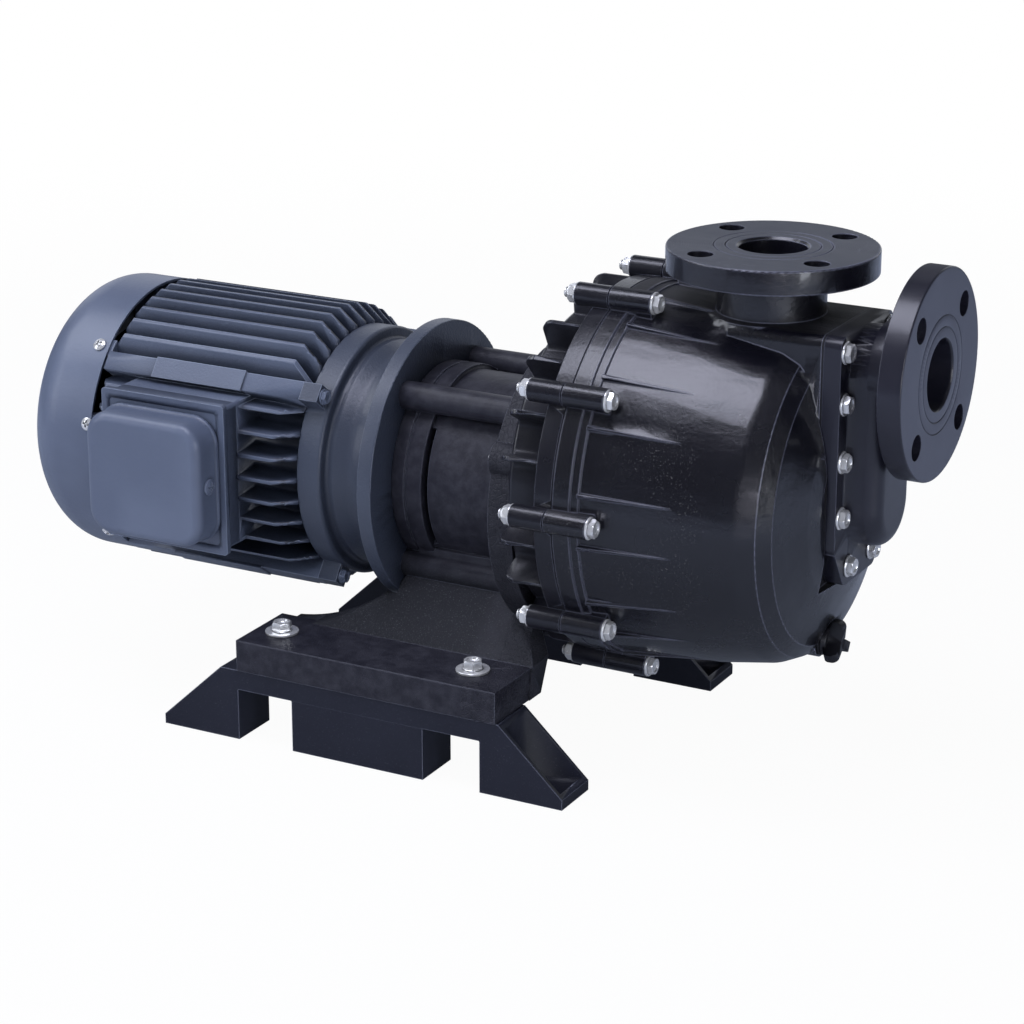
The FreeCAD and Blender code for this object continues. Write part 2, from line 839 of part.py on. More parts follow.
def motor_fins():
    """Upright plates above and below, level plates at both sides, none fanned out."""
    top = math.tan(math.radians(bar_angle_top + bar_clear_angle))
    low = math.tan(math.radians(-bar_angle_bottom + bar_clear_angle))
    level_top = math.tan(math.radians(bar_angle_top - bar_clear_angle))
    level_low = math.tan(math.radians(-bar_angle_bottom - bar_clear_angle))
    root = frame_radius - embed
    half = fin_thickness / 2
    tip = fin_tip_radius + embed
    plates = []
    for i in range(top_fin_count):
        y = (i - (top_fin_count - 1) / 2) * top_fin_pitch
        start = max(abs(y) * top, math.sqrt(max(root ** 2 - (abs(y) + half) ** 2, 0)))
        plates.append(block(frame_back_x, frame_front_x, y - half, y + half,
                            shaft_height + start, shaft_height + tip))
    for i in range(bottom_fin_count):
        y = (i - (bottom_fin_count - 1) / 2) * top_fin_pitch
        start = max(abs(y) * low, math.sqrt(max(root ** 2 - (abs(y) + half) ** 2, 0)))
        plates.append(block(frame_back_x, frame_front_x, y - half, y + half,
                            shaft_height - tip, shaft_height - start))
    for i in range(-side_fins_below, side_fins_above + 1):
        rise = i * side_fin_pitch
        limit = level_top if rise > 0 else level_low
        start = max(abs(rise) / limit, math.sqrt(max(root ** 2 - (abs(rise) + half) ** 2, 0)))
        for low_y, high_y in ((-tip, -start), (start, tip)):
            plates.append(block(frame_back_x, frame_front_x, low_y, high_y,
                                shaft_height + rise - half, shaft_height + rise + half))
    envelope = fin_envelope()
    return [plate.common(envelope) for plate in plates]


def terminal_opening(grow):
    """Outline (x, z) of the terminal box wall, grown outwards by a distance."""
    half_x = box_width / 2 - box_plate_overhang + grow
    half_z = box_height / 2 - box_plate_overhang + grow
    middle = shaft_height + box_centre_rise
    return [(box_centre_x - half_x, middle - half_z, box_corner),
            (box_centre_x + half_x, middle - half_z, box_corner),
            (box_centre_x + half_x, middle + half_z, box_corner),
            (box_centre_x - half_x, middle + half_z, box_corner)]


def motor_frame():
    """Finned frame: a tube, four screw bars at the corners and the fins between them."""
    tube = turned([(frame_back_x, frame_radius - frame_wall), (frame_back_x, frame_radius),
                   (frame_front_x, frame_radius), (frame_front_x, frame_radius - frame_wall)],
                  shaft_height)
    added = motor_fins()
    for angle in bar_angles():
        added.append(radial_block(frame_back_x, frame_front_x, frame_radius - embed,
                                  fin_tip_radius, bar_width, angle))
        added.append(radial_block(frame_back_x + bar_pad_back, frame_front_x - bar_pad_front,
                                  fin_tip_radius - embed, fin_tip_radius + bar_pad_height,
                                  bar_width + 2 * bar_pad_overhang, angle))
    seat = along_y(terminal_opening(0), box_face_y + box_depth, -frame_radius / 2)
    seat = seat.cut(rod(frame_back_x, frame_front_x, frame_radius - embed, 0, shaft_height))
    frame = tube.fuse(added + [seat])
    clear = along_y(terminal_opening(embed), box_face_y - box_depth, box_face_y + box_depth)
    passage = along_y(terminal_opening(-box_wall - frame_passage_inset), box_face_y,
                      -frame_radius + frame_wall + 4)
    holes = [clear, passage]
    holes += [rod(frame_front_x - lug_screw_depth - 2 * embed, frame_front_x + embed, lug_screw_radius, y, z)
              for y, z in lug_screw_points()]
    return frame.cut(holes)


def rear_end_shield():
    """Shield behind the fan with the rear bearing seat and lugs that carry the fan cover."""
    back = frame_back_x
    spigot = frame_radius - frame_wall
    seat = rear_bearing_radius
    seat_back = rear_bearing_x()
    plate_back = back - rear_shield_thickness
    hub_back = plate_back - rear_shield_bulge
    hub = seat + rear_housing_wall
    bore = shaft_fan_radius + 2
    inside = seat_back + 8
    front = seat_back + rear_bearing_width + 2
    corners = [(back, spigot), (back, frame_radius + 2, edge_break), (plate_back, frame_radius - 2, 4),
               (plate_back, hub + 2, 6), (hub_back, hub, 2), (hub_back, bore), (seat_back, bore),
               (seat_back, seat), (front, seat), (front, seat + 6), (inside, seat + 10, 3),
               (inside, spigot - 5, 3), (back + 3, spigot - 5), (back + 3, spigot)]
    shield = turned(corners, shaft_height)
    rim = cover_radius - cover_wall
    lugs = [radial_block(back - setback - cover_lug_rim, back, frame_radius - 4, rim + embed,
                         cover_lug_width, angle)
            for angle, setback in cover_screw_places]
    rounding = rod(back - 3 * cover_lug_width, back + cover_lug_width, rim, 0, shaft_height)
    return shield.fuse(lugs).common(rounding).cut(cover_screw_holes())


def cover_screw_holes():
    holes = []
    for angle, setback in cover_screw_places:
        hole = Part.makeCylinder(cover_screw_radius, cover_screw_depth + cover_wall + embed,
                                 V(frame_back_x - setback, -cover_radius - embed, shaft_height), V(0, 1, 0))
        holes.append(turn_x(hole, angle, shaft_height))
    return holes


def fan_cover_screws():
    """Pan-head screws set radially into the lugs of the rear end shield."""
    screws = []
    for angle, setback in cover_screw_places:
        screw = pan_head_screw(cover_screw_radius, cover_screw_depth + cover_wall,
                               cover_screw_head_radius, cover_screw_head_height)
        outwards = FreeCAD.Rotation(V(0, 0, 1), V(0, -1, 0))
        screw.Placement = FreeCAD.Placement(V(frame_back_x - setback, -cover_radius, shaft_height), outwards)
        screws.append(turn_x(screw, angle, shaft_height))
    return screws


def fan_cover():
    """Pressed sheet cover with a rounded back edge and a slotted air grille in its back."""
    front = frame_back_x - cover_gap
    back = cover_back_x
    r = cover_radius
    t = cover_wall
    corners = [(front, r - t), (front, r), (back, r, cover_dome_radius), (back, 0), (back + t, 0),
               (back + t, r - t, cover_dome_radius - t)]
    shell = turned(corners, shaft_height)
    cuts = []
    for ring in grille_rings:
        half = grille_slot_width / 2
        band = turned([(back - embed, ring - half), (back - embed, ring + half),
                       (back + t + embed, ring + half), (back + t + embed, ring - half)], shaft_height)
        cuts.append(band)
    bars = []
    step = FULL_TURN / grille_slots_per_ring
    reach = 2 * r
    for i in range(grille_slots_per_ring):
        low = math.radians(i * step - grille_bar_angle / 2)
        high = math.radians(i * step + grille_bar_angle / 2)
        bars.append(along_x([(0, shaft_height),
                             (reach * math.cos(low), shaft_height + reach * math.sin(low)),
                             (reach * math.cos(high), shaft_height + reach * math.sin(high))],
                            back - 2 * embed, back + t + 2 * embed))
    slots = Part.makeCompound(cuts).cut(bars)
    return shell.cut(slots.Solids + cover_screw_holes())


def lid_screw_place(side):
    """Seat (x, y, z) of the screw in one side wall of the lid."""
    x = box_centre_x + lid_offset + side * lid_width / 2
    y = box_face_y - gasket_thickness - lid_screw_setback
    return x, y, shaft_height + box_centre_rise + lid_screw_rise


def lid_screw_lug(side):
    """Lug inside the lid, standing on the wall of the box and tapped for the lid screw."""
    x, y, z = lid_screw_place(side)
    outer = x - side * (lid_wall + loose_fit)
    inner = outer - side * lid_lug_thickness
    wall = box_centre_x + side * (box_width / 2 - box_plate_overhang - box_wall + embed)
    half = lid_lug_half_width
    low, high = sorted((inner, outer))
    lug = block(low, high, y - half, box_face_y + lid_lug_root, z - half, z + half)
    low, high = sorted((inner, wall))
    root = block(low, high, box_face_y, box_face_y + lid_lug_root, z - half, z + half)
    return lug.fuse(root)


def terminal_box_base():
    """Box wall with its rim plate, lugs for the lid screws and the cable entry."""
    bottom = shaft_height + box_centre_rise - box_height / 2
    face = box_face_y
    floor_y = face + box_depth
    body = along_y(terminal_opening(0), face, floor_y)
    plate = along_y(terminal_opening(box_plate_overhang), face, face + box_plate_thickness)
    hollow = along_y(terminal_opening(-box_wall), face - embed, floor_y - box_wall)
    passage = along_y(terminal_opening(-box_wall - box_passage_inset), face, floor_y + embed)
    entry = post(box_centre_x, entry_y(), bottom, bottom + 3 * box_wall, entry_radius)
    box = body.fuse(plate).cut([hollow, passage, entry])
    return box.fuse([lid_screw_lug(-1), lid_screw_lug(1)]).cut(lid_screws())


def lid_screws():
    """Round-headed screws through both side walls of the lid."""
    screws = []
    for side in (-1, 1):
        screw = pan_head_screw(lid_screw_radius, lid_screw_depth, lid_screw_head_radius,
                               lid_screw_head_height)
        outwards = FreeCAD.Rotation(V(0, 0, 1), V(side, 0, 0))
        screw.Placement = FreeCAD.Placement(V(*lid_screw_place(side)), outwards)
        screws.append(screw)
    return screws


def lid_outline(grow, corner):
    half_x = lid_width / 2 + grow
    half_z = lid_height / 2 + grow
    centre = box_centre_x + lid_offset
    middle = shaft_height + box_centre_rise
    return [(centre - half_x, middle - half_z, corner), (centre + half_x, middle - half_z, corner),
            (centre + half_x, middle + half_z, corner), (centre - half_x, middle + half_z, corner)]


def terminal_gasket():
    ring = along_y(lid_outline(-gasket_inset, lid_corner), box_face_y - gasket_thickness, box_face_y)
    inner = gasket_inset + gasket_band
    return ring.cut(along_y(lid_outline(-inner, lid_corner - inner), box_face_y - 2 * gasket_thickness,
                            box_face_y + embed))


def terminal_lid():
    """Pressed lid with large corners and a rounded front edge."""
    seat = box_face_y - gasket_thickness
    outer = along_y(lid_outline(0, lid_corner), seat - lid_depth, seat)
    rim = [e for e in outer.Edges if abs(e.BoundBox.YMax - (seat - lid_depth)) < 0.01
           and abs(e.BoundBox.YMin - (seat - lid_depth)) < 0.01]
    outer = outer.makeFillet(lid_dome_radius, rim)
    outer = outer.fuse(along_y(lid_outline(lid_lip, lid_corner + lid_lip), seat - lid_lip_thickness, seat))
    inner = along_y(lid_outline(-lid_wall, lid_corner - lid_wall), seat - lid_depth + lid_wall, seat + embed)
    rim = [e for e in inner.Edges if abs(e.BoundBox.YMax - (seat - lid_depth + lid_wall)) < 0.01
           and abs(e.BoundBox.YMin - (seat - lid_depth + lid_wall)) < 0.01]
    inner = inner.makeFillet(lid_dome_radius - lid_wall, rim)
    low = lid_screw_place(-1)
    holes = rod(low[0] - embed, lid_screw_place(1)[0] + embed, lid_screw_radius + loose_fit, low[1], low[2])
    return outer.cut([inner, holes])


def terminal_board():
    """Insulating board with six studs on the floor of the box."""
    bottom = shaft_height + box_centre_rise + board_rise
    floor_y = box_face_y + box_depth - box_wall
    board = block(box_centre_x - board_half_length, box_centre_x + board_half_length,
                  floor_y - board_thickness, floor_y, bottom, bottom + board_height)
    studs = []
    for i in (-1, 0, 1):
        for rise in (stud_edge, board_height - stud_edge):
            foot_place = V(box_centre_x + stud_pitch * i, floor_y - board_thickness - stud_length, bottom + rise)
            studs.append(Part.makeCylinder(stud_radius, stud_length, foot_place, V(0, 1, 0)))
    return board.fuse(studs)


def entry_y():
    return box_face_y + box_plate_thickness + entry_radius + entry_plug_rim + loose_fit


def cable_entry_plug():
    """Blind plug in the cable entry at the underside of the box."""
    wall_z = shaft_height + box_centre_rise - box_height / 2 + box_plate_overhang
    stem = post(box_centre_x, entry_y(), wall_z, wall_z + entry_plug_length, entry_radius)
    return stem.fuse(post(box_centre_x, entry_y(), wall_z - entry_plug_head, wall_z, entry_radius + entry_plug_rim))


def stator_core():
    outer = frame_radius - frame_wall
    inner = rotor_radius + air_gap
    return turned([(core_back_x, inner), (core_back_x, outer), (core_front_x, outer), (core_front_x, inner)],
                  shaft_height)


def stator_windings():
    """End turns of the copper winding, one bundle at each end of the core."""
    inner = rotor_radius + air_gap + winding_inset
    outer = frame_radius - frame_wall - winding_inset
    r = winding_rounding
    coils = []
    for start, end in ((core_front_x, core_front_x + winding_length),
                       (core_back_x - winding_length, core_back_x)):
        coils.append(turned([(start, inner, r), (start, outer, r), (end, outer, r), (end, inner, r)],
                            shaft_height))
    return coils


def bearing_outer(x, width, radius):
    """Outer ring with its seals; the inner ring turns with the shaft."""
    inner = shaft_bearing_radius + bearing_race + bearing_gap
    return turned([(x, inner), (x, radius), (x + width, radius), (x + width, inner)], shaft_height)


def bearing_inner_rings():
    rings = []
    for x, width in ((front_bearing_x, front_bearing_width), (rear_bearing_x(), rear_bearing_width)):
        rings.append(turned([(x, shaft_bearing_radius), (x, shaft_bearing_radius + bearing_race),
                             (x + width, shaft_bearing_radius + bearing_race),
                             (x + width, shaft_bearing_radius)], shaft_height))
    return rings


def rear_bearing_x():
    return frame_back_x - rear_bearing_setback


def fan_front_x():
    return cover_back_x + cover_wall + fan_back_gap + fan_width


def motor_shaft():
    front_seat = front_bearing_x + front_bearing_width
    rear_seat = rear_bearing_x()
    end = hub_end_x()
    fan_end = fan_front_x() - fan_width
    shaft = turned([(fan_end, 0), (fan_end, shaft_fan_radius, edge_break), (rear_seat, shaft_fan_radius),
                    (rear_seat, shaft_bearing_radius),
                    (rear_seat + rear_bearing_width, shaft_bearing_radius),
                    (rear_seat + rear_bearing_width, shaft_body_radius),
                    (front_bearing_x, shaft_body_radius), (front_bearing_x, shaft_bearing_radius),
                    (front_seat, shaft_bearing_radius), (front_seat, shaft_drive_radius),
                    (end, shaft_drive_radius, edge_break), (end, 0)], shaft_height)
    return shaft.cut(drive_key())


def hub_end_x():
    """Front face of the drive magnet hub, a safe distance behind the containment can."""
    return can_end_x - 2 * magnet_gap


def drive_key():
    end = hub_end_x()
    z = shaft_height + shaft_drive_radius - key_sink
    return block(end - hub_length + key_end_gap, end - key_end_gap, -key_width / 2, key_width / 2,
                 z, z + key_height)


def rotor_core():
    return turned([(core_back_x, shaft_body_radius), (core_back_x, rotor_radius),
                   (core_front_x, rotor_radius), (core_front_x, shaft_body_radius)], shaft_height)


def cooling_fan():
    """Radial fan with straight blades on a disc behind the rear shield."""
    front = fan_front_x()
    back = front - fan_width
    hub_radius_back = shaft_fan_radius + fan_hub_wall
    disc_back = front - fan_disc_thickness
    disc = fan_disc_share * fan_radius
    hub = turned([(back, shaft_fan_radius), (back, hub_radius_back, 1),
                  (disc_back, hub_radius_back + 4, 3), (disc_back, disc), (front, disc),
                  (front, shaft_fan_radius)], shaft_height)
    root = shaft_height + hub_radius_back - embed
    tip = shaft_height + fan_radius
    blades = []
    for i in range(fan_blade_count):
        half = fan_blade_thickness / 2
        blade = along_y([(back, root), (front, root), (front, tip, 5), (back + fan_blade_chamfer, tip, 5)],
                        -half, half)
        blade.rotate(V(0, 0, shaft_height), V(1, 0, 0), i * FULL_TURN / fan_blade_count)
        blades.append(blade)
    return join(hub, blades)


# Magnetic drive

def magnet_front_x():
    return can_end_x + can_end_wall + magnet_setback + drive_magnet_length


def drive_magnet_hub():
    """Cup keyed to the motor shaft that carries the outer magnets around the can."""
    end = hub_end_x()
    outer = magnet_outer_radius + drive_sleeve_thickness
    inner = magnet_outer_radius
    hub = turned([(end - hub_length, shaft_drive_radius), (end - hub_length, hub_radius, 2),
                  (end - hub_disc_thickness, hub_radius, 3), (end - hub_disc_thickness, outer, 3),
                  (magnet_front_x(), outer, edge_break), (magnet_front_x(), inner), (end, inner),
                  (end, shaft_drive_radius)], shaft_height)
    return hub.cut(drive_key())


def drive_magnets():
    """Curved magnet segments inside the sleeve, with a narrow gap between neighbours."""
    front = magnet_front_x()
    back = front - drive_magnet_length
    inner = magnet_outer_radius - drive_magnet_thickness
    ring = turned([(back, inner), (back, magnet_outer_radius), (front, magnet_outer_radius), (front, inner)],
                  shaft_height)
    half = magnet_spacing / 2
    gaps = []
    for i in range(drive_magnet_count):
        gap = block(back - embed, front + embed, 0, 2 * magnet_outer_radius,
                    shaft_height - half, shaft_height + half)
        gap.rotate(V(0, 0, shaft_height), V(1, 0, 0), i * FULL_TURN / drive_magnet_count)
        gaps.append(gap)
    return ring.cut(gaps)


# Wet end

def clamp_angles():
    step = FULL_TURN / clamp_bolt_count
    return [90 - clamp_bolt_first_angle - i * step for i in range(clamp_bolt_count)]


def clamp_points():
    return [near_side(clamp_bolt_circle_radius, a, tank_height) for a in clamp_angles()]


def casing_fin(angle):
    """Plate standing on the casing drum with a rounded outer corner at its back."""
    back = casing_back_x + casing_fin_setback
    front = joint_x - clamp_ring_width + embed
    half = casing_fin_thickness / 2
    corners = [(back, tank_height + casing_drum_radius - 4), (front, tank_height + casing_drum_radius - 4),
               (front, tank_height + casing_fin_radius),
               (back, tank_height + casing_fin_radius, casing_fin_corner)]
    fin = along_y(corners, -half, half)
    fin.rotate(V(0, 0, tank_height), V(1, 0, 0), 90 - angle)
    return fin


def rear_casing():
    """Rear casing: drum with cooling fins, clamp ring with ten bosses, and the can."""
    back = casing_back_x
    ring_back = joint_x - clamp_ring_width
    drum = casing_drum_radius
    w = casing_wall
    corners = [(back, can_inner_radius), (back, drum, 4), (ring_back, drum, 3),
               (ring_back, clamp_ring_radius, edge_break), (joint_x, clamp_ring_radius),
               (joint_x, drum - w + 3), (joint_x - clamp_ring_width, drum - w, 5),
               (back + w, drum - w, 2), (back + w, can_inner_radius)]
    shell = turned(corners, tank_height)
    can = turned([(can_end_x, 0), (can_end_x, can_inner_radius + can_wall, can_corner),
                  (back + w, can_inner_radius + can_wall), (back + w, 0)], shaft_height)
    cover = rod(back, back + w, can_inner_radius + can_wall + tank_rise, 0, shaft_height)
    bosses = [rod(joint_x - rear_boss_length, joint_x, clamp_boss_radius, y, z) for y, z in clamp_points()]
    fins = []
    for angle in casing_fin_centres:
        for side in (-1, 1):
            fins.append(casing_fin(angle + side * casing_fin_offset))
    lobes = [rod(back, back + w, ring_lobe_radius, y, z) for y, z in casing_screw_points()]
    casing = shell.fuse([cover, can] + bosses + fins + lobes)
    cuts = [rod(can_end_x + can_end_wall, back + w + embed, can_inner_radius, 0, shaft_height)]
    cuts += [rod(joint_x - rear_boss_length - embed, joint_x + embed, clamp_bolt_size / 2 + loose_fit, y, z)
             for y, z in clamp_points()]
    cuts += [rod(back - embed, back + casing_screw_grip, casing_screw_radius, y, z)
             for y, z in casing_screw_points()]
    seat_x = can_end_x + can_end_wall
    seat = rod(seat_x - embed, seat_x + spindle_seat_depth, spindle_radius + spindle_seat_wall, 0, shaft_height)
    return casing.cut(cuts).fuse(seat).cut(spindle())


def casing_gasket():
    """Thin black seal in the clamp joint."""
    inner = casing_drum_radius - casing_wall + 3
    x0 = joint_x
    x1 = joint_x + casing_gasket_thickness
    ring = turned([(x0, inner), (x0, clamp_ring_radius - 0.7), (x1, clamp_ring_radius - 0.7), (x1, inner)],
                  tank_height)
    return ring.cut([rod(x0 - embed, x1 + embed, clamp_bolt_size / 2 + loose_fit, y, z)
                     for y, z in clamp_points()])


def front_joint_x():
    return joint_x + casing_gasket_thickness


def clamp_bolts():
    """Long flange bolts with the head on the tank side."""
    tip = joint_x - rear_boss_length - clamp_bolt_overhang
    return [bolt_along_x(front_joint_x() + front_boss_length, tip, clamp_bolt_size, y, z)
            for y, z in clamp_points()]


def clamp_nuts():
    seat = joint_x - rear_boss_length
    nuts = []
    for y, z in clamp_points():
        nut = hexagon_rod(seat - clamp_nut_height, seat, clamp_nut_flats, y, z)
        nut = nut.fuse(rod(seat - nut_flange_height, seat, nut_flange_radius, y, z))
        nuts.append(nut.cut(rod(seat - clamp_nut_height - embed, seat + embed, clamp_bolt_size / 2, y, z)))
    return nuts


def spindle():
    """Fixed ceramic spindle between the can and the volute cover."""
    return rod(can_end_x + can_end_wall, impeller_front_x() + spindle_grip, spindle_radius, 0, shaft_height)


def impeller_back_x():
    return casing_back_x + casing_wall + impeller_side_gap


def impeller_front_x():
    return impeller_back_x() + impeller_width


def impeller_magnet():
    """Plastic capsule with the inner magnets, turning inside the can."""
    front = impeller_back_x()
    return turned([(front - capsule_length, bush_radius), (front - capsule_length, capsule_radius, 3),
                   (front - capsule_taper, capsule_radius, 3), (front, capsule_radius - capsule_taper, 3),
                   (front, bush_radius)], shaft_height)


def impeller_bush():
    front = impeller_back_x()
    return turned([(front - capsule_length, spindle_radius + running_fit), (front - capsule_length, bush_radius),
                   (front, bush_radius), (front, spindle_radius + running_fit)], shaft_height)


def impeller():
    """Closed impeller: back plate, six swept vanes and a front shroud with the eye."""
    back = impeller_back_x()
    front = impeller_front_x()
    r = impeller_radius
    t = shroud_thickness
    inner = spindle_radius + 2
    nose = back + impeller_nose_length
    hub = turned([(back, inner), (back, r, 1), (back + t, r, 1), (back + t, impeller_hub_radius, 6),
                  (nose, impeller_nose_radius, 3), (nose, inner)], shaft_height)
    rim = front - impeller_rim_gap
    throat = rim + 3
    shroud = turned([(front, impeller_eye_radius), (front, impeller_eye_radius + t),
                     (throat, impeller_eye_radius + t + 2, 6), (rim, r, 1), (rim - t, r, 1),
                     (throat - t, impeller_eye_radius, 5)], shaft_height)
    vanes = []
    for i in range(vane_count):
        x = back + embed
        bend_y, bend_z = vane_bend
        out_y, out_z = vane_outlet
        start = V(x, 0, shaft_height + vane_inlet)
        inner_arc = Part.Arc(start, V(x, bend_y, shaft_height + bend_z), V(x, out_y, shaft_height + out_z))
        outer_arc = Part.Arc(V(x, out_y + vane_thickness / 2, shaft_height + out_z - vane_thickness),
                             V(x, bend_y + vane_thickness, shaft_height + bend_z - vane_thickness),
                             V(x, vane_thickness, shaft_height + vane_inlet))
        edges = [inner_arc.toShape(),
                 Part.makeLine(inner_arc.EndPoint, outer_arc.StartPoint),
                 outer_arc.toShape(),
                 Part.makeLine(outer_arc.EndPoint, start)]
        vane = Part.Face(Part.Wire(edges)).extrude(V(rim - back, 0, 0))
        vane.rotate(V(0, 0, shaft_height), V(1, 0, 0), i * FULL_TURN / vane_count)
        vanes.append(vane)
    return join(hub, [shroud] + vanes)


def volute_spiral(grow):
    """Spiral outline whose radius grows steadily once round the impeller."""
    points = []
    steps = 24
    for i in range(steps + 1):
        share = i / steps
        radius = impeller_radius + volute_start_gap + volute_growth * share + grow
        turn = math.radians(90 + volute_sweep * share)
        points.append(V(0, radius * math.cos(turn), shaft_height + radius * math.sin(turn)))
    curve = Part.BSplineCurve()
    curve.interpolate(points)
    return Part.Face(Part.Wire([curve.toShape(), Part.makeLine(points[-1], points[0])]))


def volute():
    """Spiral guide around the impeller with its eye for the suction duct."""
    back = casing_back_x + casing_wall
    front = back + volute_width
    outer = volute_spiral(volute_wall)
    outer.translate(V(back, 0, 0))
    inner = volute_spiral(0)
    inner.translate(V(back - embed, 0, 0))
    body = outer.extrude(V(volute_width, 0, 0))
    chamber = inner.extrude(V(volute_width - volute_cover + embed, 0, 0))
    eye = rod(front - volute_cover - embed, front + embed, pipe_bore_radius, 0, shaft_height)
    near = volute_outlet_offset
    far = near + impeller_radius + volute_growth - volute_cover
    outlet = block(back - embed, front - volute_cover, near, far,
                   shaft_height + impeller_radius - volute_growth + volute_cover,
                   shaft_height + impeller_radius + volute_outlet_length)
    shell = body.cut([chamber, eye, outlet])
    arms = []
    for angle in (30, 150, 270):
        arm = block(front - volute_cover, front, 0, pipe_bore_radius + 2 * embed,
                    shaft_height - volute_arm_thickness / 2, shaft_height + volute_arm_thickness / 2)
        arm.rotate(V(0, 0, shaft_height), V(1, 0, 0), angle)
        arms.append(arm)
    arms.append(rod(front - volute_cover, front, spindle_radius + spindle_grip, 0, shaft_height))
    return shell.fuse(arms).cut(spindle())


def suction_duct():
    """Sloping tube inside the tank from the suction opening to the eye of the volute."""
    start = casing_back_x + casing_wall + volute_width
    end = tank_face_x - tank_end_wall
    def tube(radius):
        low = Part.Wire(Part.makeCircle(radius, V(start, 0, shaft_height), V(1, 0, 0)))
        high = Part.Wire(Part.makeCircle(radius, V(end, 0, duct_top_z()), V(1, 0, 0)))
        return Part.makeLoft([low, high], True, True)
    return tube(pipe_bore_radius + duct_wall).cut(tube(pipe_bore_radius))


def duct_top_z():
    return tank_height + chamber_bottom_rise


def plate_outline():
    """Outline (y, z) shared by the tank face, the gasket and the suction plate."""
    top = tank_height + plate_top_rise
    bottom = tank_height - plate_bottom_drop
    shoulder = bottom + plate_chamfer_side
    w = plate_half_width
    n = plate_chamfer_half_width
    return [(-w, top, plate_corner), (-w, shoulder, plate_corner), (-n, bottom, plate_corner),
            (n, bottom, plate_corner), (w, shoulder, plate_corner), (w, top, plate_corner)]


def suction_bolt_points():
    points = [(side * suction_bolt_half_gauge, tank_height + rise)
              for side in (-1, 1) for rise in suction_bolt_rises]
    points += [(side * suction_bottom_bolt_half_gauge, tank_height - suction_bottom_bolt_drop)
               for side in (-1, 1)]
    return points


def flange_holes(turn):
    """Places of the pipe flange holes as (u, v) about the flange centre, turned by an angle."""
    holes = []
    for i in range(pipe_bolt_count):
        angle = math.radians(45 + turn + i * FULL_TURN / pipe_bolt_count)
        holes.append((pipe_bolt_circle_radius * math.cos(angle), pipe_bolt_circle_radius * math.sin(angle)))
    return holes


def pipe_flange(at, way, neck, neck_length, hole_turn):
    """Flange disc on its neck with face grooves and bolt holes; at is the face centre."""
    back = -pipe_flange_thickness
    corners = [(0, back - neck_length), (neck, back - neck_length), (neck, back, 2),
               (pipe_flange_radius, back, edge_break), (pipe_flange_radius, 0, 1.5), (0, 0)]
    disc = turned_upright(corners)
    cuts = []
    for radius in groove_radii:
        cuts.append(turned_upright([(radius, -groove_depth), (radius + groove_width, -groove_depth),
                                    (radius + groove_width, embed), (radius, embed)]))
    for u, v in flange_holes(hole_turn):
        cuts.append(post(u, v, back - embed, embed, pipe_bolt_hole / 2))
    disc = disc.cut(cuts)
    turn = FreeCAD.Rotation(V(0, 0, 1), way)
    disc.Placement = FreeCAD.Placement(at, turn)
    return disc


def tank_rib(angle):
    """Tapering rib that runs from the clamp ring and fades out along the tank."""
    start = front_joint_x() + clamp_ring_width + clamp_step_width - embed
    end = start + rib_length
    root = tank_height + tank_mouth_radius - 4
    tip = tank_height + tank_mouth_radius + rib_height
    half = rib_width / 2
    side = Part.Face(Part.makePolygon([V(start, -half, root), V(start, half, root),
                                       V(start, half * rib_tip_share, tip), V(start, -half * rib_tip_share, tip),
                                       V(start, -half, root)]))
    sunk = tank_height + tank_mouth_radius - nose_swell_drop - embed / 2
    low = sunk - rib_width
    far = Part.Face(Part.makePolygon([V(end, -0.4, low), V(end, 0.4, low), V(end, 0.3, sunk),
                                      V(end, -0.3, sunk), V(end, -0.4, low)]))
    rib = Part.makeLoft([side.OuterWire, far.OuterWire], True, True)
    rib.rotate(V(0, 0, tank_height), V(1, 0, 0), 90 - angle)
    return rib


